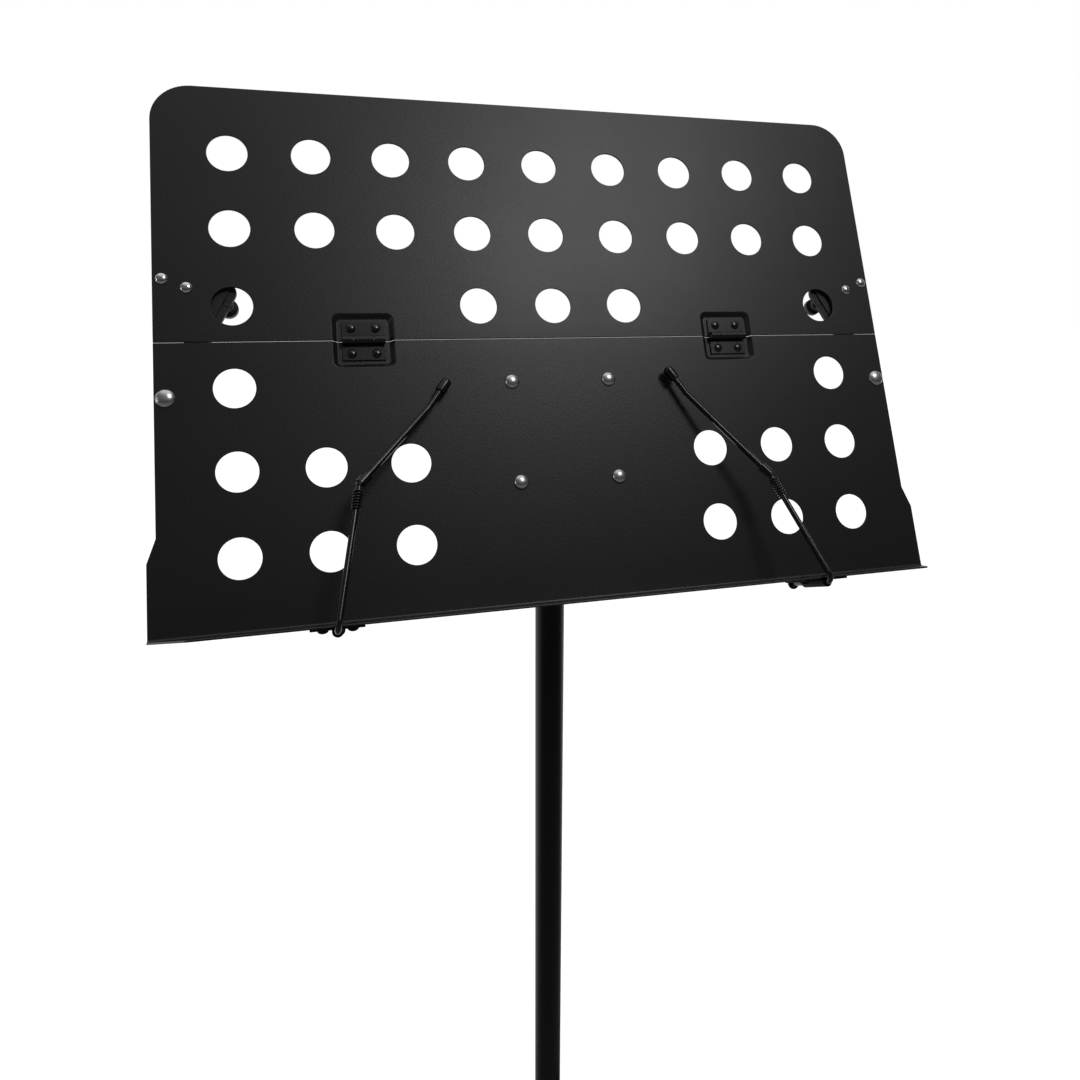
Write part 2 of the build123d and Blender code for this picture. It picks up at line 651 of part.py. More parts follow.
def page_arm(elbow, kink, tip):
    """The pieces of one arm, as on the right: rods, clip, spring, elbow socket and tip cap."""
    elbow = Vector(*elbow)
    kink = Vector(*kink)
    tip = Vector(*tip)
    corner = Vector(*arm_axis_point(arm_front))
    lower_dir = (elbow - corner).normalized()
    upper_dir = (kink - elbow).normalized()
    tip_dir = (tip - kink).normalized()
    lower_rod = bent_rod([foot_end, corner, elbow], arm_rod_radius, arm_bend_radius)
    lower_rod += Pos(elbow) * Sphere(elbow_ball_radius)
    upper_start = elbow + upper_dir * (elbow_ball_radius + side_play + 1.0)
    cap_inside = tip - tip_dir * tip_cap_wall
    socket_start = elbow + upper_dir * elbow_socket_lip
    socket_end = elbow + upper_dir * elbow_socket_length
    elbow_socket = cylinder_between(socket_start, socket_end, elbow_socket_radius)
    elbow_socket -= Pos(elbow) * Sphere(elbow_ball_radius + side_play)
    elbow_socket -= cylinder_between(upper_start, socket_end + upper_dir, arm_rod_radius + running)
    cap_start = tip - tip_dir * tip_cap_length
    cap_edge = 0.6
    cap_seat = tip_cap_length - tip_cap_rise
    cap_section = Face(Wire([
        Line((0, 0, 0), (tip_cap_radius - cap_edge, 0, 0)),
        Line((tip_cap_radius - cap_edge, 0, 0), (tip_cap_radius, 0, cap_edge)),
        Line((tip_cap_radius, 0, cap_edge), (tip_cap_radius, 0, cap_seat)),
        dome_edge(tip_cap_radius, tip_cap_rise, cap_seat, 1),
        Line((0, 0, tip_cap_length), (0, 0, 0)),
    ]))
    tip_cap = Plane(origin=cap_start, z_dir=tip_dir) * revolve(cap_section, Axis.Z)
    tip_cap -= cylinder_between(cap_start - tip_dir, cap_inside + tip_dir * running, arm_rod_radius + running)
    return {
        "arm_bracket": arm_bracket,
        "arm_lower_rod": lower_rod,
        "arm_clip": arm_clip,
        "arm_spring": spring_coil(elbow, lower_dir),
        "arm_upper_rod": bent_rod([upper_start, kink, cap_inside], arm_rod_radius, kink_radius),
        "arm_elbow_socket": elbow_socket,
        "arm_tip_cap": tip_cap,
    }


for word, points in arm_points.items():
    for piece_name, shape in page_arm(**points).items():
        add_desk(f"{piece_name}_{word}", mirrored(shape) if word == "left" else shape)

# Pole neck and inner tube
pole_top = tilt_height - pole_top_drop
neck_foot = pole_top + neck_collar_height
neck_outline = Pos(0, tilt_height) * Circle(neck_radius) + Pos(0, neck_foot) * Rectangle(
    2 * neck_half_width, tilt_height - neck_foot, align=(Align.CENTER, Align.MIN)
)
pole_neck = extrude(Plane.YZ * neck_outline, neck_half_thickness, both=True)
spigot_radius = pole_radius - pole_wall - running
pole_neck += turned([
    (0, pole_top - neck_spigot_length), (spigot_radius, pole_top - neck_spigot_length),
    (spigot_radius, pole_top), (neck_collar_radius, pole_top), (neck_collar_radius, neck_foot),
    (0, neck_foot),
])
pole_neck -= cylinder_between(
    (-neck_radius, 0, tilt_height), (neck_radius, 0, tilt_height), tilt_bolt_radius + running
)
pieces["pole_neck"] = pole_neck
collar_top = tilt_height - clamp_drop
outer_tube_top = collar_top - collar_rim
bush_bottom = outer_tube_top - bush_length
pole_bottom = bush_bottom - pole_raise - guide_length
tube_line = [(0, 0, height) for height in (pole_bottom, pole_top)]
inner_tube = cylinder_between(*tube_line, pole_radius)
pieces["inner_tube"] = inner_tube - cylinder_between(*tube_line, pole_radius - pole_wall)

# Guide sleeve on the foot of the inner tube, bush, outer tube and clamp collar
outer_bore = outer_tube_radius - outer_tube_wall
guide_radius = outer_bore - 2 * running
guide_bottom = pole_bottom - guide_foot
pieces["guide_sleeve"] = turned([
    (0, guide_bottom), (guide_radius, guide_bottom), (guide_radius, pole_bottom + guide_length),
    (pole_radius + running, pole_bottom + guide_length), (pole_radius + running, pole_bottom - running),
    (0, pole_bottom - running),
])
screw_height = collar_top - clamp_screw_down
screw_tip = pole_radius + side_play
knob_seat = clamp_boss_reach + knob_gap


def screw_line(start, end, radius):
    return cylinder_between((start, 0, screw_height), (end, 0, screw_height), radius)


screw_hole = screw_line(0, clamp_boss_reach + 1, clamp_screw_radius + running)
pieces["pole_bush"] = turned([
    (pole_radius + running, bush_bottom), (outer_bore - running, bush_bottom),
    (outer_bore - running, outer_tube_top), (pole_radius + running, outer_tube_top),
]) - screw_hole
outer_tube = cylinder_between((0, 0, outer_tube_bottom), (0, 0, outer_tube_top), outer_tube_radius)
outer_tube -= cylinder_between((0, 0, outer_tube_bottom), (0, 0, outer_tube_top), outer_bore)
pieces["outer_tube"] = outer_tube - screw_hole
collar_bottom = collar_top - collar_height
sleeve_radius = outer_tube_radius + running
clamp_collar = turned([
    (sleeve_radius, collar_bottom), (collar_radius - collar_chamfer, collar_bottom),
    (collar_radius, collar_bottom + collar_chamfer), (collar_radius, collar_top - 2 * collar_chamfer),
    (collar_radius - 2 * collar_chamfer, collar_top), (pole_radius + side_play, collar_top),
    (pole_radius + side_play, outer_tube_top), (sleeve_radius, outer_tube_top),
])
clamp_boss = screw_line(sleeve_radius, clamp_boss_reach, clamp_boss_radius)
clamp_boss -= cylinder_between((0, 0, collar_bottom), (0, 0, collar_top), sleeve_radius)
pieces["clamp_collar"] = clamp_collar + clamp_boss - screw_hole
screw_end = knob_seat + clamp_screw_in_knob
pieces["clamp_screw"] = screw_line(screw_tip, screw_end, clamp_screw_radius)
knob_plane = Plane(origin=(knob_seat, 0, screw_height), z_dir=(1, 0, 0))
pieces["clamp_knob"] = knob_plane * lobed_knob(
    clamp_knob_radius, clamp_knob_length, clamp_screw_radius, clamp_screw_in_knob + running
)

# Leg hub: a cast barrel on the foot of the outer tube with three pairs of lugs
pivot = Vector(leg_pivot_radius, 0, leg_pivot_height)
slope = math.radians(leg_slope)
leg_dir = Vector(math.cos(slope), 0, -math.sin(slope))
leg_plane = Plane(origin=pivot, x_dir=leg_dir, z_dir=(0, -1, 0))
hub_bottom = leg_pivot_height - hub_below_pivot
hub_top = leg_pivot_height + hub_above_pivot
hub = turned([
    (0, hub_bottom), (hub_radius - hub_chamfer, hub_bottom), (hub_radius, hub_bottom + hub_chamfer),
    (hub_radius, hub_top - 2 * hub_chamfer), (hub_radius - 2 * hub_chamfer, hub_top), (0, hub_top),
])
lug_inside = knuckle_half_thickness + side_play
lug_middle = lug_inside + lug_thickness / 2
lug_foot = Pos(0, leg_pivot_height - lug_radius) * Rectangle(
    hub_radius - hub_chamfer, lug_radius + hub_above_pivot - 3 * hub_chamfer, align=(Align.MIN, Align.MIN)
)
lug_eye = Pos(leg_pivot_radius, leg_pivot_height) * Circle(lug_radius)
lug = extrude(Plane.XZ * make_hull((lug_foot + lug_eye).edges()), lug_thickness / 2, both=True)
roof_low = leg_tube_radius + side_play
roof_back = -leg_pivot_radius
roof = extrude(leg_plane * Polygon(
    (roof_back, roof_low), (roof_length, roof_low), (roof_length, roof_low + roof_thickness),
    (roof_back, roof_low + 2 * roof_thickness), align=None,
), lug_middle, both=True)
roof -= cylinder_between(
    pivot - Vector(0, hub_radius, 0), pivot + Vector(0, hub_radius, 0), knuckle_block_radius + side_play
)
for azimuth in leg_azimuths.values():
    hub += Rot(0, 0, azimuth) * Pos(0, lug_middle, 0) * lug
    hub += Rot(0, 0, azimuth) * Pos(0, -lug_middle, 0) * lug
    hub += Rot(0, 0, azimuth) * roof
hub -= cylinder_between((0, 0, hub_bottom), (0, 0, hub_top + leg_pivot_radius), sleeve_radius)
lug_outside = lug_inside + lug_thickness
pin_hole = cylinder_between(
    pivot - Vector(0, lug_outside, 0), pivot + Vector(0, lug_outside, 0), leg_pin_radius + running
)
for azimuth in leg_azimuths.values():
    hub -= Rot(0, 0, azimuth) * pin_hole
pieces["leg_hub"] = hub
leg_pin = Plane(origin=pivot - Vector(0, lug_outside, 0), z_dir=(0, 1, 0)) * rivet(
    leg_pin_head, leg_pin_head_height, leg_pin_radius, 2 * lug_outside, leg_pin_head, leg_pin_head_height
)
pieces["leg_pins"] = group(Rot(0, 0, azimuth) * leg_pin for azimuth in leg_azimuths.values())
pieces["hub_plug"] = turned([
    (0, hub_bottom - hub_plug_flange), (hub_plug_radius - 1, hub_bottom - hub_plug_flange),
    (hub_plug_radius, hub_bottom - hub_plug_flange + 1), (hub_plug_radius, hub_bottom),
    (outer_tube_radius, hub_bottom), (outer_tube_radius, outer_tube_bottom), (0, outer_tube_bottom),
])


# Legs: a knuckle on the pin, a tube over its spigot, and a rubber foot cut flat on the floor

def on_leg(along):
    return pivot + leg_dir * along


knuckle_outline = Circle(knuckle_block_radius) + Rectangle(
    knuckle_block_length, 2 * leg_tube_radius, align=(Align.MIN, Align.CENTER)
)
tube_start = knuckle_block_length + knuckle_shoulder
leg_knuckle = extrude(leg_plane * knuckle_outline, knuckle_half_thickness, both=True)
leg_knuckle += cylinder_between(on_leg(knuckle_block_length), on_leg(tube_start), leg_tube_radius)
leg_bore = leg_tube_radius - leg_tube_wall
leg_knuckle += cylinder_between(on_leg(tube_start), on_leg(tube_start + knuckle_spigot), leg_bore - running)
leg_knuckle -= pin_hole
leg_tube = cylinder_between(on_leg(tube_start), on_leg(leg_tube_end), leg_tube_radius)
leg_tube -= cylinder_between(on_leg(tube_start), on_leg(leg_tube_end), leg_bore)
floor_reach = leg_pivot_height / math.sin(slope)
foot_round = 2.0
leg_foot = Plane(origin=on_leg(floor_reach - foot_length), z_dir=leg_dir) * turned([
    (0, 0), (foot_radius - foot_round, 0), (foot_radius, 2 * foot_round),
    (foot_radius, foot_length - foot_round), (foot_radius - foot_round, foot_length), (0, foot_length),
])
leg_foot -= cylinder_between(on_leg(0), on_leg(leg_tube_end), leg_tube_radius + running)
leg_foot -= Pos(on_leg(floor_reach)) * Box(
    4 * foot_length, 4 * foot_length, foot_length, align=(Align.CENTER, Align.CENTER, Align.MAX)
)
for word, azimuth in leg_azimuths.items():
    turn = Rot(0, 0, azimuth)
    pieces[f"leg_knuckle_{word}"] = turn * leg_knuckle
    pieces[f"leg_tube_{word}"] = turn * leg_tube
    pieces[f"leg_foot_{word}"] = turn * leg_foot

os.makedirs("parts", exist_ok=True)
for piece_name, shape in pieces.items():
    export_step(shape, f"parts/{piece_name}.step")
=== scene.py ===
import json
import math

import bmesh
import bpy
from mathutils import Matrix, Vector

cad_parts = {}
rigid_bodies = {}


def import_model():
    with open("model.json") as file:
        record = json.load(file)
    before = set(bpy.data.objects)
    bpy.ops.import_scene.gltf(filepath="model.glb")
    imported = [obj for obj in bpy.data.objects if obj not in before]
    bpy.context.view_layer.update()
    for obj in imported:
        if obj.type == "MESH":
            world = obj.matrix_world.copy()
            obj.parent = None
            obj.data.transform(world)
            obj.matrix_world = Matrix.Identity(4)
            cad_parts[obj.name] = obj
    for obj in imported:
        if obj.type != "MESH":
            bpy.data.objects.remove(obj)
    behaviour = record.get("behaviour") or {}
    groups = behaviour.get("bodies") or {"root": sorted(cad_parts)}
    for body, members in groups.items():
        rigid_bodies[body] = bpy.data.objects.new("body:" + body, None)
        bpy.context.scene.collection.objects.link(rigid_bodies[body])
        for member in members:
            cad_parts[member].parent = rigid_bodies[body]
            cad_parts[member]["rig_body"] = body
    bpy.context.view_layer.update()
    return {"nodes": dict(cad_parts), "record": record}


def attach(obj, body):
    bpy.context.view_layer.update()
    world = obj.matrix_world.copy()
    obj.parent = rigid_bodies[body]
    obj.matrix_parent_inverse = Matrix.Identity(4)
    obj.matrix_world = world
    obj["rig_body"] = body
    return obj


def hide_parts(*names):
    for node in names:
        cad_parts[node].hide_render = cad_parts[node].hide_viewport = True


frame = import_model()


# Folding legs. Each is a painted steel tube pushed over the spigot of a cast knuckle, which turns on a
# pin between two lugs of the hub. A ribbed rubber boot, cut flat where it meets the floor, is pushed on
# the other end.

def open_socket(node, name):
    """A node's first enabled input of that identifier, or of that name with underscores for spaces."""
    for socket in node.inputs:
        if socket.enabled and name in (socket.identifier, socket.name.replace(" ", "_")):
            return socket


class Shade:
    """One value in a shader's node tree. Sums and products of values add their Math nodes."""

    def __init__(self, tree, socket=None):
        self.tree = tree
        self.socket = socket

    def put(self, socket, value):
        """Links a value to a socket, or sets a plain number or colour on it."""
        if isinstance(value, Shade):
            self.tree.links.new(value.socket, socket)
        else:
            socket.default_value = value

    def node(self, kind, settings=None, output=0, **sockets):
        """Adds a node: its settings first, then the values or links of its sockets."""
        made = self.tree.nodes.new(kind)
        for setting, value in (settings or {}).items():
            setattr(made, setting, value)
        for name, value in sockets.items():
            self.put(open_socket(made, name), value)
        return Shade(self.tree, made.outputs[output])

    def maths(self, operation, first, second):
        """Adds a Math node on two values."""
        made = self.tree.nodes.new("ShaderNodeMath")
        made.operation = operation
        self.put(made.inputs[0], first)
        self.put(made.inputs[1], second)
        return Shade(self.tree, made.outputs[0])

    def __add__(self, other):
        return self.maths("ADD", self, other)

    def __radd__(self, other):
        return self.maths("ADD", other, self)

    def __rsub__(self, other):
        return self.maths("SUBTRACT", other, self)

    def __mul__(self, other):
        return self.maths("MULTIPLY", self, other)

    def __rmul__(self, other):
        return self.maths("MULTIPLY", other, self)


def new_finish(name):
    """A material with its shader, and a value to build its nodes from."""
    material = bpy.data.materials.new(name)
    material.use_nodes = True
    shader = material.node_tree.nodes["Principled BSDF"]
    return material, shader, Shade(material.node_tree)


def coated(name, dark, light, rough, grain, depth, coat=0.0, shine=0.5):
    """A black finish: fine grain in its height and gloss, and slow clouding of its tone."""
    material, shader, shade = new_finish(name)
    place = shade.node("ShaderNodeTexCoord", output="Object")
    peel = shade.node("ShaderNodeTexNoise", Vector=place, Scale=grain, Detail=3.0, Roughness=0.6)
    cloud = shade.node("ShaderNodeTexNoise", Vector=place, Scale=9.0, Detail=4.0, Roughness=0.55)
    speck = shade.node("ShaderNodeTexNoise", Vector=place, Scale=grain * 2.7, Detail=2.0)
    tone = shade.node(
        "ShaderNodeMix", {"data_type": "RGBA"}, 2, Factor_Float=0.55 * cloud + 0.45 * speck,
        A_Color=(*dark, 1), B_Color=(*light, 1),
    )
    shade.put(shader.inputs["Base Color"], tone)
    shade.put(shader.inputs["Roughness"], rough - 0.06 + 0.08 * cloud + 0.06 * peel)
    bump = shade.node("ShaderNodeBump", Height=peel, Strength=depth, Distance=0.0002)
    shade.put(shader.inputs["Normal"], bump)
    shader.inputs["Specular IOR Level"].default_value = shine
    shader.inputs["Coat Weight"].default_value = coat
    shader.inputs["Coat Roughness"].default_value = 0.25
    return material


# The tubes' black is darker than the panel's black: painted shade for the pole under the desk, which the
# legs share.
tube_coat_with_painted_shade = coated(
    "tube powder coat", (0.002, 0.002, 0.0021), (0.004, 0.004, 0.0042),
    rough=0.42, grain=900, depth=0.25, shine=0.22,
)
cast_coat = coated(
    "painted casting", (0.006, 0.006, 0.0063), (0.013, 0.013, 0.0135),
    rough=0.52, grain=420, depth=0.5,
)


merge_distance, ease_steps = 2e-6, 2
flat_within, sharp_beyond, crease = [math.radians(turn) for turn in (0.6, 38, 48)]


def eased(node, finish, ease):
    """A copy of a CAD piece with its sharp edges eased, which stands in for it."""
    piece = bpy.data.objects.new(node + "_finished", frame["nodes"][node].data.copy())
    bpy.context.scene.collection.objects.link(piece)
    shape = bmesh.new()
    shape.from_mesh(piece.data)
    bmesh.ops.remove_doubles(shape, verts=shape.verts, dist=merge_distance)
    bmesh.ops.dissolve_limit(
        shape, angle_limit=flat_within, verts=shape.verts, edges=shape.edges, use_dissolve_boundaries=False
    )
    sharp = [e for e in shape.edges if len(e.link_faces) == 2 and e.calc_face_angle(0) > sharp_beyond]
    bmesh.ops.bevel(
        shape, geom=sharp, offset=ease, segments=ease_steps, profile=0.5, affect="EDGES", clamp_overlap=True
    )
    for face in shape.faces:
        face.smooth = True
    shape.to_mesh(piece.data)
    shape.free()
    settle(piece, finish)
    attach(piece, frame["nodes"][node]["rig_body"])
    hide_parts(node)


def settle(piece, finish):
    """Gives a piece its finish, and normals that keep its flat faces flat."""
    piece.data.materials.clear()
    piece.data.materials.append(finish)
    for face in piece.data.polygons:
        face.material_index = 0
        face.use_smooth = True
    piece.data.set_sharp_from_angle(angle=crease)
    weigh = piece.modifiers.new("weigh", "WEIGHTED_NORMAL")
    weigh.keep_sharp = True
    weigh.weight = 100
    graph = bpy.context.evaluated_depsgraph_get()
    mesh = bpy.data.meshes.new_from_object(piece.evaluated_get(graph), depsgraph=graph)
    piece.modifiers.clear()
    piece.data = mesh


def worn_rubber(name):
    """Matt rubber: slow blotches, and a fine open grain."""
    material, shader, shade = new_finish(name)
    place = shade.node("ShaderNodeTexCoord", output="Object")
    grain = shade.node("ShaderNodeTexNoise", Vector=place, Scale=1400.0, Detail=2.0)
    blotch = shade.node("ShaderNodeTexNoise", Vector=place, Scale=60.0, Detail=3.0)
    tone = shade.node(
        "ShaderNodeMix", {"data_type": "RGBA"}, 2, Factor_Float=blotch,
        A_Color=(0.006, 0.006, 0.006, 1), B_Color=(0.015, 0.0145, 0.0145, 1),
    )
    shade.put(shader.inputs["Base Color"], tone)
    shade.put(shader.inputs["Roughness"], 0.68 + 0.16 * blotch)
    bump = shade.node("ShaderNodeBump", Height=grain, Strength=0.35, Distance=0.0003)
    shade.put(shader.inputs["Normal"], bump)
    return material


class Grower:
    """A Geometry Nodes tree with named inputs, built one node at a time."""

    def __init__(self, name, **inputs):
        self.tree = bpy.data.node_groups.new(name, "GeometryNodeTree")
        face = self.tree.interface
        face.new_socket("Geometry", in_out="INPUT", socket_type="NodeSocketGeometry")
        for size, kind in inputs.items():
            face.new_socket(size, in_out="INPUT", socket_type="NodeSocket" + kind)
        face.new_socket("Geometry", in_out="OUTPUT", socket_type="NodeSocketGeometry")
        self.source = self.tree.nodes.new("NodeGroupInput")

    def size(self, name):
        """One of the tree's named inputs."""
        return self.source.outputs[name]

    def add(self, kind, settings=None, output=0, **sockets):
        """Adds a node: settings first, then values or links by socket name or identifier."""
        made = self.tree.nodes.new(kind)
        for setting, value in (settings or {}).items():
            setattr(made, setting, value)
        for name, value in sockets.items():
            socket = open_socket(made, name)
            for one in value if isinstance(value, list) else [value]:
                if isinstance(one, bpy.types.NodeSocket):
                    self.tree.links.new(one, socket)
                else:
                    socket.default_value = one
        return made.outputs[output]

    def maths(self, operation, first, second):
        """Adds a Math node on two sizes."""
        return self.add("ShaderNodeMath", {"operation": operation}, Value=first, Value_001=second)

    def close(self, geometry):
        """Ends the tree in plain, smooth geometry of one finish."""
        plain = self.add("GeometryNodeRealizeInstances", Geometry=geometry)
        smooth = self.add("GeometryNodeSetShadeSmooth", Geometry=plain)
        dressed = self.add("GeometryNodeSetMaterial", Geometry=smooth, Material=self.size("Finish"))
        self.tree.links.new(dressed, self.tree.nodes.new("NodeGroupOutput").inputs[0])

    def grow(self, name, points, edges, **inputs):
        """The tree's result on these points and edges, as a plain mesh object at the origin."""
        base = bpy.data.meshes.new(name)
        base.from_pydata(points, edges, [])
        piece = bpy.data.objects.new(name, base)
        bpy.context.scene.collection.objects.link(piece)
        modifier = piece.modifiers.new("grow", "NODES")
        modifier.node_group = self.tree
        for item in self.tree.interface.items_tree:
            if item.in_out == "INPUT" and item.name in inputs:
                modifier[item.identifier] = inputs[item.name]
        graph = bpy.context.evaluated_depsgraph_get()
        mesh = bpy.data.meshes.new_from_object(piece.evaluated_get(graph), depsgraph=graph)
        piece.modifiers.clear()
        piece.data = mesh
        return piece


rubber = worn_rubber("boot rubber")
rib = Grower("boot ribs", **{"Rib radius": "Float", "Rib height": "Float", "Finish": "Material"})
hoop = rib.add("GeometryNodeCurvePrimitiveCircle", Resolution=40, Radius=rib.size("Rib radius"))
bead = rib.add("GeometryNodeCurvePrimitiveCircle", Resolution=10, Radius=rib.size("Rib height"))
hoop = rib.add("GeometryNodeCurveToMesh", Curve=hoop, Profile_Curve=bead)
rib.close(rib.add("GeometryNodeInstanceOnPoints", Points=rib.size("Geometry"), Instance=hoop))
joints = {joint["name"]: joint for joint in frame["record"]["behaviour"]["joints"]}
leg_slope = math.radians(30)
boot_radius, first_rib, rib_pitch, rib_count, rib_height = 0.0125, 0.058, 0.006, 5, 0.0009
for side in ("back", "left", "right"):
    eased(f"leg_tube_{side}", tube_coat_with_painted_shade, ease=0.0003)
    eased(f"leg_knuckle_{side}", cast_coat, ease=0.0008)
    eased(f"leg_foot_{side}", rubber, ease=0.0008)

    # The boot's ribs are rings about the leg's axis, above the part that is cut flat.
    pivot = Vector(joints[f"leg_fold_{side}"]["pos_m"])
    outward = Vector((pivot.x, pivot.y, 0)).normalized()
    along_leg = math.cos(leg_slope) * outward - math.sin(leg_slope) * Vector((0, 0, 1))
    floor_reach = pivot.z / math.sin(leg_slope)
    ribs = rib.grow(
        f"boot_ribs_{side}", [(0, 0, rib_pitch * step) for step in range(rib_count)], [],
        **{"Rib radius": boot_radius, "Rib height": rib_height, "Finish": rubber},
    )
    seat = Matrix.Translation(pivot + (floor_reach - first_rib) * along_leg)
    ribs.data.transform(seat @ along_leg.to_track_quat("Z", "Y").to_matrix().to_4x4())
    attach(ribs, f"leg_{side}")


# Leg hub. A painted casting on the foot of the outer tube, with three pairs of lugs and a stop above
# each knuckle. A moulded plug closes the tube from below, and three steel pins carry the legs.

def bright_metal(name, colour, rough, turning):
    """Plated steel: fine turning marks in its gloss and a faint bloom in its tone."""
    material, shader, shade = new_finish(name)
    place = shade.node("ShaderNodeTexCoord", output="Object")
    marks = shade.node("ShaderNodeTexNoise", Vector=place, Scale=turning, Detail=4.0, Roughness=0.7)
    bloom = shade.node("ShaderNodeTexNoise", Vector=place, Scale=160.0, Detail=2.0)
    tone = shade.node(
        "ShaderNodeMix", {"data_type": "RGBA"}, 2, Factor_Float=bloom,
        A_Color=(*[0.82 * c for c in colour], 1), B_Color=(*colour, 1),
    )
    shade.put(shader.inputs["Base Color"], tone)
    shade.put(shader.inputs["Roughness"], rough - 0.05 + 0.12 * marks)
    bump = shade.node("ShaderNodeBump", Height=marks, Strength=0.08, Distance=0.0001)
    shade.put(shader.inputs["Normal"], bump)
    shader.inputs["Metallic"].default_value = 1.0
    return material


bright_steel = bright_metal("bright plated steel", (0.74, 0.74, 0.73), rough=0.27, turning=2600.0)
moulded = coated(
    "moulded black plastic", (0.006, 0.006, 0.0063), (0.012, 0.012, 0.0126),
    rough=0.46, grain=1100, depth=0.35,
)
eased("leg_hub", cast_coat, ease=0.001)
eased("hub_plug", moulded, ease=0.0005)
eased("leg_pins", bright_steel, ease=0.0002)


# Outer tube and height clamp. The painted tube stands in the hub. A moulded collar over its top carries
# the clamp screw and its lobed hand knob, and a bush inside steadies the inner tube.
eased("outer_tube", tube_coat_with_painted_shade, ease=0.0003)
eased("pole_bush", moulded, ease=0.0002)
eased("clamp_collar", moulded, ease=0.0008)
eased("clamp_screw", bright_steel, ease=0.0004)
eased("clamp_knob", moulded, ease=0.0009)


# Inner tube. A painted steel tube with a guide sleeve on its foot and a cast neck in its top, which
# carries the desk on the tilt bolt.
eased("inner_tube", tube_coat_with_painted_shade, ease=0.0003)
eased("guide_sleeve", moulded, ease=0.0003)
eased("pole_neck", cast_coat, ease=0.0006)


# Tilt bracket. Pressed steel plate with two ears, riveted to the back of the desk. The tilt bolt passes
# through ears, friction washers and neck, and its lobed knob draws them together.
fittings_coat = coated(
    "fittings black", (0.004, 0.004, 0.0042), (0.008, 0.008, 0.0084),
    rough=0.34, grain=700, depth=0.15, coat=0.1, shine=0.4,
)
eased("tilt_bracket", fittings_coat, ease=0.0005)
eased("tilt_bolt", bright_steel, ease=0.0003)
eased("tilt_washer", bright_steel, ease=0.0002)
eased("friction_washers", moulded, ease=0.0001)
eased("tilt_knob", moulded, ease=0.0009)


# Lower desk panel. Black powder-coated sheet, punched with rows of round holes and pressed back into two
# pockets for the hinges. Its foot is bent forward into the ledge. Desk places are (x, down, behind) from
# the middle of the fold.
across = Vector((1, 0, 0))
behind = Vector(joints["arm_swing_right"]["axis"])
down = behind.cross(across)
fold = Vector(joints["desk_fold"]["pos_m"])
desk = Matrix.Translation(fold) @ Matrix((across, down, behind)).transposed().to_4x4()

sheet = 0.0012
edge_round = 0.00035
half_width = 0.244
fold_edge = 0.0001 + edge_round
hole_radius, hole_pitch = 0.012, 0.050


# The tree takes the outline of the flat sheet as a loop of edges, and a loose point for each hole.
punched = Grower("punched sheet", **{
    "Hole radius": "Float", "Edge round": "Float", "Thickness": "Float", "Finish": "Material",
})
outline = punched.add("GeometryNodeMeshToCurve", Mesh=punched.size("Geometry"))
lone = punched.add("FunctionNodeCompare", {"data_type": "INT", "operation": "EQUAL"}, A_INT=punched.add(
    "GeometryNodeInputMeshVertexNeighbors"), B_INT=0)
rim_radius = punched.maths("ADD", punched.size("Hole radius"), punched.size("Edge round"))
rim = punched.add("GeometryNodeCurvePrimitiveCircle", Resolution=48, Radius=rim_radius)
rims = punched.add(
    "GeometryNodeInstanceOnPoints", Points=punched.size("Geometry"), Selection=lone, Instance=rim)
loops = punched.add("GeometryNodeJoinGeometry", Geometry=[
    outline, punched.add("GeometryNodeRealizeInstances", Geometry=rims)])
back_face = punched.add("GeometryNodeFillCurve", {"mode": "TRIANGLES"}, Curve=loops)
front_face = punched.add("GeometryNodeFlipFaces", Mesh=back_face)
lift = punched.add("ShaderNodeCombineXYZ", Z=punched.size("Thickness"))
back_face = punched.add("GeometryNodeTransform", Geometry=back_face, Translation=lift)
half_sheet = punched.maths("MULTIPLY", punched.size("Thickness"), 0.5)
bulge = punched.add("GeometryNodeCurveArc", {"mode": "RADIUS"}, Resolution=7, Radius=1.0,
                    Start_Angle=math.radians(90), Sweep_Angle=math.radians(180))
bulge = punched.add("GeometryNodeTransform", Geometry=bulge, Scale=punched.add(
    "ShaderNodeCombineXYZ", X=punched.size("Edge round"), Y=half_sheet, Z=1.0))
wall = punched.add("GeometryNodeCurveToMesh", Curve=rim, Profile_Curve=bulge)
wall = punched.add("GeometryNodeTransform", Geometry=wall, Translation=punched.add(
    "ShaderNodeCombineXYZ", Z=half_sheet))
walls = punched.add(
    "GeometryNodeInstanceOnPoints", Points=punched.size("Geometry"), Selection=lone, Instance=wall)
walls = punched.add("GeometryNodeRealizeInstances", Geometry=walls)
punched.close(punched.add("GeometryNodeMergeByDistance", Distance=1e-6, Geometry=punched.add(
    "GeometryNodeJoinGeometry", Geometry=[front_face, back_face, walls])))


def arc(middle, radius, start, end, steps):
    """Points on an arc in the sheet's plane, by angles in degrees."""
    turns = [math.radians(start + (end - start) * step / steps) for step in range(steps + 1)]
    return [Vector((middle[0] + radius * math.cos(t), middle[1] + radius * math.sin(t), 0)) for t in turns]


hinge_x = 0.124
pocket_half_width, pocket_height, pocket_depth, pocket_wall = 0.0191, 0.0177, 0.00275, 0.0034
mouth_corner, floor_corner = 0.0045, 0.00225


def pocket_ring(side, share):
    """One line round a hinge pocket, from the fold up and back, at a share of the way to its floor."""
    inset = pocket_wall * share
    radius = mouth_corner + (floor_corner - mouth_corner) * share
    right = pocket_half_width - inset
    left, top = -right, pocket_height - inset
    depth = pocket_depth * share * share * (3 - 2 * share)
    line = [Vector((left, fold_edge, 0)), *arc((left + radius, top - radius), radius, 180, 90, 6),
            *arc((right - radius, top - radius), radius, 90, 0, 6), Vector((right, fold_edge, 0))]
    return [Vector((p.x, side * p.y, depth)) for p in line]


roll_steps = 6
pocket_shares = [0, 0.06, 0.14, 0.26, 0.42, 0.58, 0.74, 0.86, 0.94, 1]


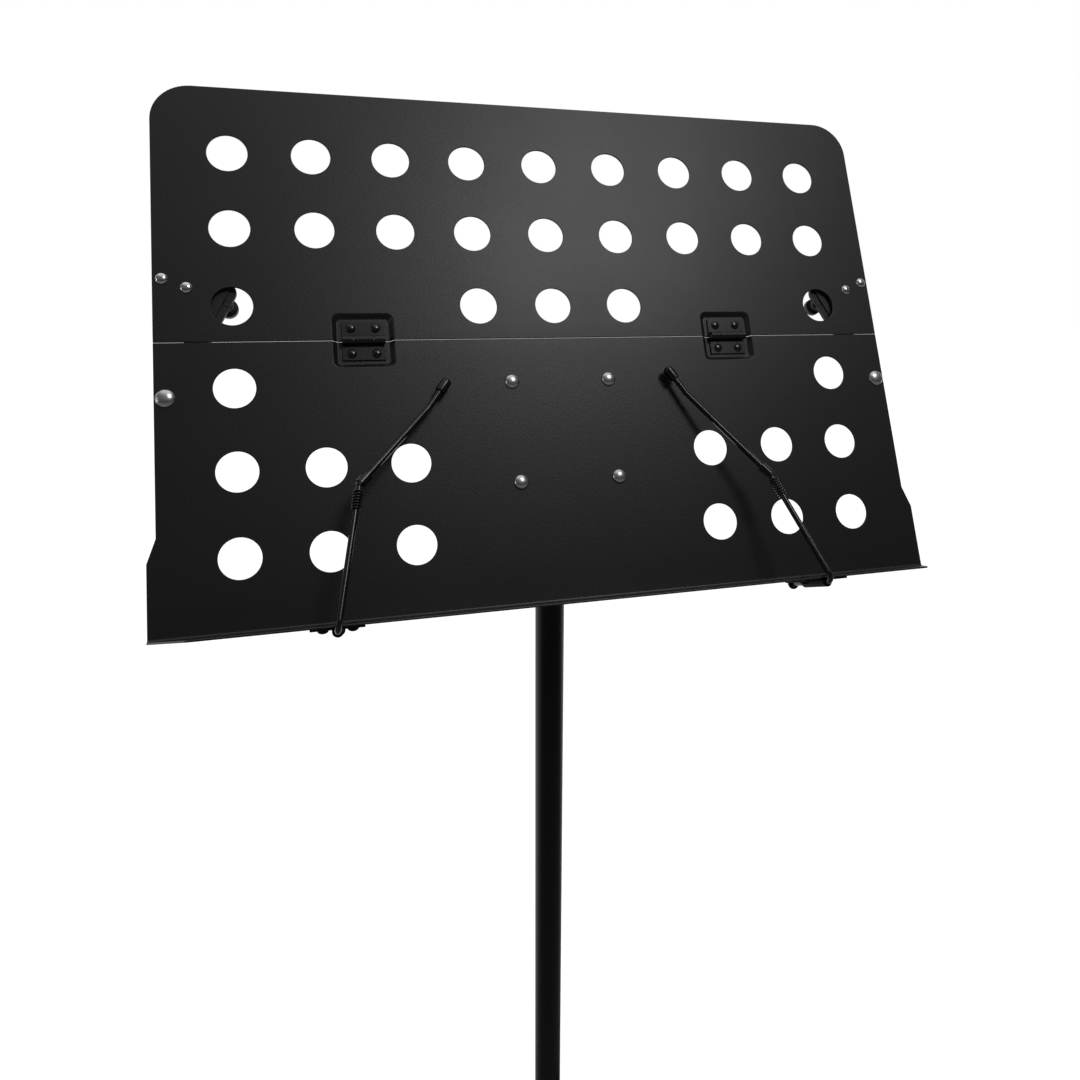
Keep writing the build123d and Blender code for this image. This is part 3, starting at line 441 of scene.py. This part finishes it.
def strip(shape, lines):
    """Quads between lines of as many points each."""
    rows = [[shape.verts.new(p) for p in line] for line in lines]
    for row, after in zip(rows, rows[1:]):
        for i in range(len(row) - 1):
            shape.faces.new((row[i], row[i + 1], after[i + 1], after[i]))
    return rows


def rolled(shape, pairs):
    """A rounded edge between front and back points of a sheet, bulging out along each pair's direction."""
    lines = []
    for step in range(roll_steps + 1):
        turn = math.pi * step / roll_steps
        share = (1 - math.cos(turn)) / 2
        lines.append([f.lerp(b, share) + out * edge_round * math.sin(turn) for f, b, out in pairs])
    strip(shape, lines)


def through(edge):
    """Front and back points of a sheet's edge, with the way that each faces."""
    return [(p, p + Vector((0, 0, sheet)), way.normalized()) for p, way in edge]


def square_corner(point, first_way, last_way):
    """A corner point of a sheet's edge, repeated as the way that the edge faces turns round it."""
    return [(point, first_way.slerp(last_way, share)) for share in (0.25, 0.5, 0.75)]


def pressed_panel(name, side, fold_line, border, holes):
    """A punched panel with its hinge pockets and rolled edges; border runs on from the fold line's end."""
    shape = bmesh.new()
    notched, dipped = [fold_line[0]], [fold_line[0]]
    for middle in (-hinge_x, hinge_x):
        rings = [[p + Vector((middle, 0, 0)) for p in pocket_ring(side, share)] for share in pocket_shares]
        notched += rings[0]
        dipped += [ring[0] for ring in rings] + [ring[-1] for ring in reversed(rings)]
        for lift in (Vector(), Vector((0, 0, sheet))):
            floor = strip(shape, [[p + lift for p in ring] for ring in rings])[-1]
            shape.faces.new(floor)
    notched.append(fold_line[1])
    dipped.append(fold_line[1])
    loop = notched + [p for p, out in border]
    count = len(loop)
    flat = punched.grow(
        name, loop + [Vector((x, v, 0)) for x, v in holes], [(i, (i + 1) % count) for i in range(count)],
        **{"Hole radius": hole_radius, "Edge round": edge_round, "Thickness": sheet, "Finish": panel_coat},
    )
    shape.from_mesh(flat.data)
    return flat, shape, dipped


def hole_places(rows, first_row, side):
    """Places on the hole grid, by the columns of each row, counted away from the fold."""
    return [
        (column * hole_pitch, side * (first_row + hole_pitch * row))
        for row, columns in rows.items()
        for column in columns
    ]


def finish_panel(piece, shape, node):
    """Closes the panel's seams, sets it in place on the desk and lets it stand for its CAD solid."""
    bmesh.ops.remove_doubles(shape, verts=shape.verts, dist=merge_distance)
    bmesh.ops.recalc_face_normals(shape, faces=shape.faces)
    shape.transform(desk)
    shape.to_mesh(piece.data)
    shape.free()
    settle(piece, panel_coat)
    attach(piece, frame["nodes"][node]["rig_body"])
    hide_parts(node)


panel_coat = coated(
    "panel powder coat", (0.007, 0.007, 0.0073), (0.012, 0.012, 0.0125),
    rough=0.40, grain=800, depth=0.3,
)

flared, flare_start, flare_end, flare_way = 0.249, 0.114, 0.128, (1, -0.15, 0)
inner, wide = half_width - edge_round, flared - edge_round
ledge_top, ledge_depth, ledge_front = 0.1702, 0.037, 0.222
bend_radius, ledge_corner = 0.0015, 0.006
bend_start = ledge_top - bend_radius
right_side = [
    ((inner, fold_edge), (1, 0, 0)), ((inner, flare_start), flare_way), ((wide, flare_end), flare_way),
    ((wide, bend_start), (1, 0, 0)),
]
right_border = [(Vector((*p, 0)), Vector(out)) for p, out in right_side]
left_border = [(Vector((-p.x, p.y, 0)), Vector((-o.x, o.y, 0))) for p, o in reversed(right_border)]
fold_line = (Vector((-inner, fold_edge, 0)), Vector((inner, fold_edge, 0)))
lower_first_row = 0.0285
lower_holes = {0: (-4, 4), 1: (-4, -3, -2, 2, 3, 4), 2: (-4, -3, -2, 2, 3, 4)}
ledge_steps = 8
shares = [step / ledge_steps - 1 for step in range(2 * ledge_steps + 1)]
to_left, to_right = Vector((-1, 0, 0)), Vector((1, 0, 0))
to_upper, to_lower = Vector((0, -1, 0)), Vector((0, 1, 0))
foot_line = [(Vector((share * wide, bend_start, 0)), to_lower) for share in shares[-2:0:-1]]
lower, shape, dipped = pressed_panel(
    "lower_panel_finished", 1, fold_line, right_border[1:] + foot_line + left_border[:-1],
    hole_places(lower_holes, lower_first_row, 1),
)


# The ledge's section runs round the bend and forward; its plan tapers and has rounded front corners.
bend_steps = 6
bend_turns = [math.radians(90 - 90 * step / bend_steps) for step in range(bend_steps + 1)]
over = [(bend_start + bend_radius * math.cos(t), bend_radius * (math.sin(t) - 1)) for t in bend_turns]
outer_bend = bend_radius + sheet
under = [
    (bend_start + outer_bend * math.cos(t), outer_bend * math.sin(t) - bend_radius) for t in bend_turns
]
reach = [(wide, Vector((1, 0, 0))) for turn in bend_turns]
taper, run_in = flared - ledge_front, ledge_depth - bend_radius
side_way = Vector((run_in, 0, -taper)).normalized()
corner_depth = ledge_corner - ledge_depth
corner_reach = flared - (ledge_corner + side_way.z * (corner_depth + bend_radius)) / side_way.x
side_turn = math.atan2(-side_way.z, side_way.x)
front_turns = [
    side_turn + (math.pi / 2 - side_turn) * step / ledge_steps for step in range(ledge_steps + 1)
]
inner_corner = ledge_corner - edge_round
corner_points = [
    (corner_reach + inner_corner * math.cos(t), corner_depth - inner_corner * math.sin(t))
    for t in front_turns
]
corner_ways = [Vector((math.cos(t), 0, -math.sin(t))) for t in front_turns]
corner_width, corner_front = corner_points[0]
for step in range(1, ledge_steps):
    share = step / ledge_steps
    reach.append((wide + (corner_width - wide) * share, side_way))
    depth = -bend_radius + (corner_front + bend_radius) * share
    over.append((ledge_top, depth))
    under.append((ledge_top + sheet, depth))
for (width, depth), way in zip(corner_points, corner_ways):
    reach.append((width, way))
    over.append((ledge_top, depth))
    under.append((ledge_top + sheet, depth))
for line in (over, under):
    strip(shape, [
        [Vector((share * width, v, d)) for share in shares] for (width, way), (v, d) in zip(reach, line)
    ])
ends = {}
for hand in (-1, 1):
    ends[hand] = [
        (Vector((hand * width, *top)), Vector((hand * width, *low)), Vector((hand * way.x, 0, way.z)))
        for (width, way), top, low in zip(reach, over, under)
    ]
front_width, forward = reach[-1][0], Vector((0, 0, -1))
front_edge = [
    (Vector((share * front_width, *over[-1])), Vector((share * front_width, *under[-1])), forward)
    for share in shares[1:-1]
]
rolled(shape, ends[-1] + front_edge + ends[1][::-1])
rolled(shape, through(
    left_border + square_corner(fold_line[0], to_left, to_upper) + [(p, to_upper) for p in dipped]
    + square_corner(fold_line[1], to_upper, to_right) + right_border
))
finish_panel(lower, shape, "lower_panel")


# Upper desk panel. The same sheet, with rounded top corners and a full field of holes, which folds
# forward over the lower one.
upper_height, top_corner, corner_steps, upper_first_row = 0.1673, 0.024, 16, 0.0224
corner_x, corner_v = half_width - top_corner, top_corner - upper_height
border = []
for middle, start in (((corner_x, corner_v), 0), ((-corner_x, corner_v), -90)):
    line = arc(middle, top_corner - edge_round, start, start - 90, corner_steps)
    border += [(p, p - Vector((*middle, 0))) for p in line]
fold_line = (Vector((-inner, -fold_edge, 0)), Vector((inner, -fold_edge, 0)))
upper_holes = {0: (-4, -1, 0, 1, 4), 1: range(-4, 5), 2: range(-4, 5)}
upper, shape, dipped = pressed_panel(
    "upper_panel_finished", -1, fold_line, border, hole_places(upper_holes, upper_first_row, -1),
)
rolled(shape, through(
    [(p, to_lower) for p in dipped] + square_corner(fold_line[1], to_lower, to_right)
    + [(fold_line[1], to_right)] + border + [(fold_line[0], to_left)]
    + square_corner(fold_line[0], to_left, to_lower) + [(fold_line[0], to_lower)]
))
finish_panel(upper, shape, "upper_panel")


# Butt hinges. Rolled black steel leaves in the pockets, with a steel pin through their knuckles.
for side in ("left", "right"):
    eased(f"hinge_upper_leaf_{side}", fittings_coat, ease=0.00045)
    eased(f"hinge_lower_leaf_{side}", fittings_coat, ease=0.00045)
eased("hinge_pins", bright_steel, ease=0.0001)


# Rivets. Dome-headed steel, set from the music side: plated ones hold the tilt bracket, the latches and
# the keepers, and black ones hold the hinges and the arm brackets.
dome = Grower("dome heads", **{"Head radius": "Float", "Head height": "Float", "Finish": "Material"})
dome_sides = 32
ball = dome.add("GeometryNodeMeshUVSphere", Segments=dome_sides, Rings=dome_sides // 2, Radius=1.0)
height = dome.add("ShaderNodeSeparateXYZ", output=2, Vector=dome.add("GeometryNodeInputPosition"))
low = dome.add("FunctionNodeCompare", {"data_type": "FLOAT", "operation": "LESS_THAN"}, A=height, B=-0.01)
cap = dome.add("GeometryNodeDeleteGeometry", {"domain": "POINT"}, Geometry=ball, Selection=low)
seat = dome.add("GeometryNodeMeshCircle", {"fill_type": "NGON"}, Vertices=dome_sides, Radius=1.0)
cap = dome.add("GeometryNodeMergeByDistance", Distance=1e-4, Geometry=dome.add(
    "GeometryNodeJoinGeometry", Geometry=[cap, dome.add("GeometryNodeFlipFaces", Mesh=seat)]))
head_radius = dome.size("Head radius")
head_size = dome.add("ShaderNodeCombineXYZ", X=head_radius, Y=head_radius, Z=dome.size("Head height"))
cap = dome.add("GeometryNodeTransform", Geometry=cap, Scale=head_size)
dome.close(dome.add("GeometryNodeInstanceOnPoints", Points=dome.size("Geometry"), Instance=cap))


def domes(name, places, radius, height, depth, front, finish, turn=Matrix.Identity(4)):
    """Dome heads at places on the desk, at a depth behind the music face, facing front or back."""
    facing = Matrix.Diagonal((1, -1, -1, 1)) if front else Matrix.Identity(4)
    points = [facing @ Vector((x, v, depth)) for x, v in places]
    piece = dome.grow(name, points, [], **{"Head radius": radius, "Head height": height, "Finish": finish})
    piece.data.transform(desk @ turn @ facing)
    return piece


def joined(name, pieces, finish, nodes):
    """Like pieces of one body as one object, which stands for their CAD solids."""
    shape = bmesh.new()
    for piece in pieces:
        shape.from_mesh(piece.data)
    mesh = bpy.data.meshes.new(name)
    shape.to_mesh(mesh)
    shape.free()
    mesh.materials.append(finish)
    whole = bpy.data.objects.new(name, mesh)
    bpy.context.scene.collection.objects.link(whole)
    for piece in pieces:
        bpy.data.objects.remove(piece)
    for face in mesh.polygons:
        face.material_index = 0
        face.use_smooth = True
    mesh.set_sharp_from_angle(angle=crease)
    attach(whole, frame["nodes"][nodes[0]]["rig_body"])
    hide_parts(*nodes)


def both_ends(name, places, radius, height, front_depth, back_depth, finish, nodes):
    """Rivets with a dome at each end, one before the sheet and one behind what they hold."""
    joined(name, [
        domes(name + "_heads", places, radius, height, front_depth, True, finish),
        domes(name + "_tails", places, radius, height, back_depth, False, finish),
    ], finish, nodes)


bracket_x, bracket_rows = 0.0327, (0.029, 0.0944)
bracket_radius, bracket_height, bracket_back = 0.0048, 0.0026, 0.0032
bracket_places = [(x, v) for x in (-bracket_x, bracket_x) for v in bracket_rows]
both_ends("bracket_rivet_heads", bracket_places, bracket_radius, bracket_height, 0, bracket_back,
          bright_steel, ["bracket_rivets"])

latch_x, latch_down = 0.2377, 0.0336
latch_radius, latch_height, latch_back = 0.0055, 0.0026, 0.006
latch_places = [(x, latch_down) for x in (-latch_x, latch_x)]
both_ends("latch_rivet_heads", latch_places, latch_radius, latch_height, 0, latch_back,
          bright_steel, ["latch_pivot_rivets"])

keeper_x, keeper_up, keeper_pitch, keeper_turn = 0.2386, 0.0395, 0.0145, math.radians(22.4)
keeper_radius, keeper_height, keeper_back = 0.0036, 0.002, 0.0024
keeper_places = [
    (hand * (keeper_x - pitch * math.cos(keeper_turn)), pitch * math.sin(keeper_turn) - keeper_up)
    for hand in (-1, 1) for pitch in (0, keeper_pitch)
]
nickel = bright_metal("nickel plate", (0.86, 0.85, 0.83), rough=0.16, turning=2600.0)
both_ends("keeper_rivet_heads", keeper_places, keeper_radius, keeper_height, 0, keeper_back,
          nickel, ["keeper_rivets"])

leaf_rivet_out, leaf_rivet_aside = 0.0082, 0.0075
leaf_radius, leaf_height, leaf_front, leaf_back = 0.003, 0.0014, 0.00155, 0.00395
rivet_black = coated(
    "black rivet steel", (0.003, 0.003, 0.0032), (0.006, 0.006, 0.0063),
    rough=0.20, grain=900, depth=0.05, coat=0.3,
)
for word, v in (("upper", -leaf_rivet_out), ("lower", leaf_rivet_out)):
    places = [(x + dx, v) for x in (-hinge_x, hinge_x) for dx in (-leaf_rivet_aside, leaf_rivet_aside)]
    both_ends(f"hinge_rivet_heads_{word}", places, leaf_radius, leaf_height, leaf_front, leaf_back,
              rivet_black, [f"hinge_rivets_{word}"])


# Swing latches. Black steel bars on the back, each turning on a plated rivet over a spacer, with a small
# moulded knob. A stepped keeper on the upper panel holds the bar's end.
for side in ("left", "right"):
    eased(f"latch_bar_{side}", cast_coat, ease=0.0003)
    eased(f"latch_knob_{side}", moulded, ease=0.0004)
    eased(f"keeper_{side}", fittings_coat, ease=0.0002)
eased("latch_spacers", bright_steel, ease=0.0002)


# Page arm straps. Black steel saddles riveted under the ledge, each round the foot of one arm.
strap_coat = coated(
    "strap black", (0.002, 0.002, 0.0021), (0.004, 0.004, 0.0042),
    rough=0.62, grain=700, depth=0.2, shine=0.12,
)
for side in ("left", "right"):
    eased(f"arm_bracket_{side}", strap_coat, ease=0.0002)
arm_x, strap_middle, strap_seat, strap_rivet_aside = 0.148, 0.024, 0.1726, 0.008
strap_head, strap_head_height, strap_tail_height = 0.0031, 0.002, 0.0008
aside = (-strap_rivet_aside, strap_rivet_aside)
arm_places = [(x + dx, strap_middle) for x in (-arm_x, arm_x) for dx in aside]
facing_down = Matrix(((1, 0, 0, 0), (0, 0, 1, 0), (0, -1, 0, 0), (0, 0, 0, 1)))
facing_up = Matrix(((1, 0, 0, 0), (0, 0, -1, 0), (0, -1, 0, 0), (0, 0, 0, 1)))
arm_heads = domes(
    "arm_rivets_low", arm_places, strap_head, strap_head_height, strap_seat, False, strap_coat, facing_down)
arm_tails = domes(
    "arm_rivets_top", arm_places, strap_head, strap_tail_height, -ledge_top, False, strap_coat, facing_up)
joined("arm_rivet_heads", [arm_heads, arm_tails], strap_coat, ["arm_bracket_rivets"])


# Page arms. Black spring-steel rod: the lower rod turns in its strap and bends up in front of the ledge,
# and ends in a ball at the elbow, with a close coil below it. The upper rod leaves a crimped socket
# there, kinks near its end and carries a round-ended cap.
wire = Grower("bent wire", **{"Wire radius": "Float", "Bend radius": "Float", "Finish": "Material"})
run = wire.add("GeometryNodeMeshToCurve", Mesh=wire.size("Geometry"))
run = wire.add(
    "GeometryNodeFilletCurve", {"mode": "POLY"}, Curve=run, Count=14, Radius=wire.size("Bend radius"))
across_wire = wire.add("GeometryNodeCurvePrimitiveCircle", Resolution=24, Radius=wire.size("Wire radius"))
wire.close(wire.add("GeometryNodeCurveToMesh", Curve=run, Profile_Curve=across_wire, Fill_Caps=True))
coil = Grower("close coil", **{
    "Coil radius": "Float", "Wire radius": "Float", "Turns": "Float", "Length": "Float",
    "Left hand": "Bool", "Finish": "Material",
})
helix = coil.add(
    "GeometryNodeCurveSpiral", Resolution=32, Rotations=coil.size("Turns"), Height=coil.size("Length"),
    Start_Radius=coil.size("Coil radius"), End_Radius=coil.size("Coil radius"),
    Reverse=coil.size("Left hand"))
across_coil = coil.add("GeometryNodeCurvePrimitiveCircle", Resolution=12, Radius=coil.size("Wire radius"))
coil.close(coil.add("GeometryNodeCurveToMesh", Curve=helix, Profile_Curve=across_coil, Fill_Caps=True))
rod_gloss = coated(
    "arm rod black", (0.003, 0.003, 0.0032), (0.006, 0.006, 0.0063),
    rough=0.24, grain=500, depth=0.06, coat=0.2, shine=0.4,
)
rod_radius, ball_radius, foot_bend, kink_bend = 0.0018, 0.0022, 0.005, 0.025
cap_radius, cap_length, cap_round, cap_ease, cap_overlap = 0.0033, 0.010, 0.0026, 0.0005, 0.003
coil_radius, coil_wire, coil_turns, coil_length, coil_start = 0.00265, 0.00055, 7.0, 0.0119, 0.0032
arm_front, foot_back, socket_depth = 0.0426, 0.0047, 0.0035
kinks = {"left": (-0.0885, 0.0468, -0.008), "right": (0.0837, 0.0431, -0.008)}
tips = {"left": (-0.0743, 0.0281, -0.0055), "right": (0.0723, 0.0235, -0.0055)}


def along_way(place, way):
    """The place and turn of a piece whose Z axis lies along a way on the desk."""
    return desk @ Matrix.Translation(place) @ way.to_track_quat("Z", "Y").to_matrix().to_4x4()


def arm_piece(piece, side, body, node):
    """Lets a piece of an arm, in place on the desk, stand for its CAD solid."""
    settle(piece, rod_gloss)
    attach(piece, f"{body}_{side}")
    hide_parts(f"{node}_{side}")


def round_cap(name):
    """A cap turned about Z from its eased mouth at zero to its round end."""
    line = [(0, 0), (rod_radius, 0), (cap_radius - cap_ease, 0), (cap_radius, cap_ease)]
    round_start, round_steps, sides = cap_length - cap_round, 8, 32
    for step in range(round_steps + 1):
        turn = math.radians(90 * step / round_steps)
        line.append((cap_radius * math.cos(turn), round_start + cap_round * math.sin(turn)))
    shape = bmesh.new()
    turns = [2 * math.pi * step / sides for step in range(sides + 1)]
    strip(shape, [[Vector((r * math.cos(t), r * math.sin(t), z)) for t in turns] for r, z in line])
    bmesh.ops.remove_doubles(shape, verts=shape.verts, dist=1e-6)
    bmesh.ops.dissolve_degenerate(shape, edges=shape.edges, dist=1e-7)
    bmesh.ops.recalc_face_normals(shape, faces=shape.faces)
    mesh = bpy.data.meshes.new(name)
    shape.to_mesh(mesh)
    shape.free()
    piece = bpy.data.objects.new(name, mesh)
    bpy.context.scene.collection.objects.link(piece)
    return piece


to_desk = desk.inverted()
for side in ("left", "right"):
    axle = to_desk @ Vector(joints[f"arm_swing_{side}"]["pos_m"])
    elbow = to_desk @ Vector(joints[f"arm_lift_{side}"]["pos_m"])
    foot = Vector((axle.x, axle.y, foot_back))
    corner_point = Vector((axle.x, axle.y, -arm_front))
    rod = wire.grow(
        f"arm_lower_rod_{side}_wire", [foot, corner_point, elbow], [(0, 1), (1, 2)],
        **{"Wire radius": rod_radius, "Bend radius": foot_bend, "Finish": rod_gloss},
    )
    knuckle = bmesh.new()
    knuckle.from_mesh(rod.data)
    bmesh.ops.create_uvsphere(
        knuckle, u_segments=24, v_segments=16, radius=ball_radius, matrix=Matrix.Translation(elbow))
    knuckle.to_mesh(rod.data)
    knuckle.free()
    rod.data.transform(desk)
    arm_piece(rod, side, "page_arm", "arm_lower_rod")
    downward = (corner_point - elbow).normalized()
    spring = coil.grow(
        f"arm_spring_{side}_coil", [(0, 0, 0)], [],
        **{"Coil radius": coil_radius, "Wire radius": coil_wire, "Turns": coil_turns, "Length": coil_length,
           "Left hand": side == "left", "Finish": rod_gloss},
    )
    spring.data.transform(along_way(elbow + coil_start * downward, downward))
    arm_piece(spring, side, "page_arm", "arm_spring")
    eased(f"arm_clip_{side}", fittings_coat, ease=0.0002)
    kink, tip = Vector(kinks[side]), Vector(tips[side])
    upward = (kink - elbow).normalized()
    onward = (tip - kink).normalized()
    upper_rod = wire.grow(
        f"arm_upper_rod_{side}_wire", [elbow + socket_depth * upward, kink, tip - cap_overlap * onward],
        [(0, 1), (1, 2)], **{"Wire radius": rod_radius, "Bend radius": kink_bend, "Finish": rod_gloss},
    )
    upper_rod.data.transform(desk)
    arm_piece(upper_rod, side, "arm_tip", "arm_upper_rod")
    eased(f"arm_elbow_socket_{side}", rod_gloss, ease=0.0004)
    tip_cap = round_cap(f"arm_tip_cap_{side}_turned")
    tip_cap.data.transform(along_way(tip - cap_length * onward, onward))
    arm_piece(tip_cap, side, "arm_tip", "arm_tip_cap")


# Floor: a plain pale sweep. It is lit like the stand, so it keeps the stand's shadow, and away from the
# stand it glows white to the eye.
# Near the stand's foot the glow is dimmer, which paints a grey pool of shade round it. Reflections see that
# glow behind the stand.
floor_finish, floor_shader, shade = new_finish("pale floor")
place = shade.node("ShaderNodeTexCoord", output="Object")
away = shade.node("ShaderNodeVectorMath", {"operation": "LENGTH"}, "Value", Vector=place)
# The glow fades within half a metre of the stand: a painted pool of shade round its foot.
glow_with_painted_pool = shade.node(
    "ShaderNodeMapRange", {"interpolation_type": "SMOOTHSTEP"}, Value=away,
    From_Min=0.1, From_Max=0.5, To_Min=0.58, To_Max=0.97,
)
further = shade.node("ShaderNodeSeparateXYZ", output="Y", Vector=place)
past = shade.node("ShaderNodeMapRange", {"interpolation_type": "SMOOTHSTEP"}, Value=further, From_Max=0.8)
seen = shade.node("ShaderNodeLightPath", output="Is Camera Ray")
mirrored = shade.node("ShaderNodeLightPath", output="Is Glossy Ray")
floor_shader.inputs["Base Color"].default_value = (0.3, 0.3, 0.3, 1)
floor_shader.inputs["Roughness"].default_value = 0.9
floor_shader.inputs["Specular IOR Level"].default_value = 0.1
floor_shader.inputs["Emission Strength"].default_value = 1.0
shade.put(floor_shader.inputs["Emission Color"], glow_with_painted_pool * (seen + mirrored * past))
floor_mesh = bpy.data.meshes.new("floor")
far = 30
floor_mesh.from_pydata([(-far, -far, 0), (far, -far, 0), (far, far, 0), (-far, far, 0)], [], [(0, 1, 2, 3)])
floor_mesh.materials.append(floor_finish)
floor = bpy.data.objects.new("floor", floor_mesh)
bpy.context.scene.collection.objects.link(floor)


# Room: a white sweep behind the stand, and in front of it a dim studio with a paler ceiling that is lit
# straight overhead. The eye sees white all round.
world = bpy.data.worlds.new("white room")
world.use_nodes = True
bpy.context.scene.world = world
sky = world.node_tree.nodes["Background"]
room = Shade(world.node_tree)
heading = room.node("ShaderNodeTexCoord", output="Generated")
backward = room.node("ShaderNodeSeparateXYZ", output="Y", Vector=heading)
upward = room.node("ShaderNodeSeparateXYZ", output="Z", Vector=heading)
white_side = room.node(
    "ShaderNodeMapRange", {"interpolation_type": "SMOOTHSTEP"}, Value=backward, From_Min=0.0, From_Max=0.7,
)
ceiling = room.node("ShaderNodeMapRange", {"interpolation_type": "SMOOTHSTEP"}, Value=upward, From_Max=0.6)
overhead = room.node(
    "ShaderNodeMapRange", {"interpolation_type": "SMOOTHSTEP"}, Value=upward, From_Min=0.72, From_Max=0.97,
)
direct = room.node("ShaderNodeLightPath", output="Is Camera Ray")
glancing = room.node("ShaderNodeLightPath", output="Is Glossy Ray")
sky.inputs["Color"].default_value = (1, 1, 1, 1)
dim = 0.02 + 0.09 * ceiling + 0.55 * overhead
lit = dim + white_side * (0.4 + 0.5 * glancing)
room.put(sky.inputs["Strength"], direct + (1 - direct) * lit)


# Lamps: a square softbox above the reader's right shoulder puts the soft sheen on the desk, and a dim
# strip at the left draws a thin light line down the pole and the rods.
def softbox(name, place, target, width, height, power):
    """A square-cornered area lamp at a place, turned to a target."""
    lamp = bpy.data.lights.new(name, "AREA")
    lamp.shape = "RECTANGLE"
    lamp.size, lamp.size_y, lamp.energy = width, height, power
    box = bpy.data.objects.new(name, lamp)
    box.location = place
    box.rotation_euler = (Vector(target) - Vector(place)).to_track_quat("-Z", "Y").to_euler()
    bpy.context.scene.collection.objects.link(box)


softbox("key softbox", (0.905, -1.825, 3.325), (0, 0, 1.15), width=0.8, height=0.8, power=20)
softbox("left strip", (-2.1, -0.55, 1.4), (0, 0, 1.1), width=0.3, height=0.8, power=2)


# Camera at the photograph's place: near, a little left of the desk's middle and above it. The lens axis
# meets the picture left of its middle and above it, by a share of its width.
picture_width, axis_left, axis_up = 1080, 10, 72
lens = bpy.data.cameras.new("camera")
lens.lens, lens.sensor_width = 25.2522, 36
lens.shift_x, lens.shift_y = axis_left / picture_width, -axis_up / picture_width
camera = bpy.data.objects.new("camera", lens)
eye = Vector((-0.141493, -0.498569, 1.116484))
ahead = Vector((0.24097, 0.947197, -0.211544))
rightward = Vector((0.969062, -0.246814, -0.001263))
turn = Matrix((rightward, rightward.cross(ahead), -ahead)).transposed().to_4x4()
camera.matrix_world = Matrix.Translation(eye) @ turn
bpy.context.scene.collection.objects.link(camera)
bpy.context.scene.camera = camera
bpy.context.scene.view_settings.view_transform = "Standard"
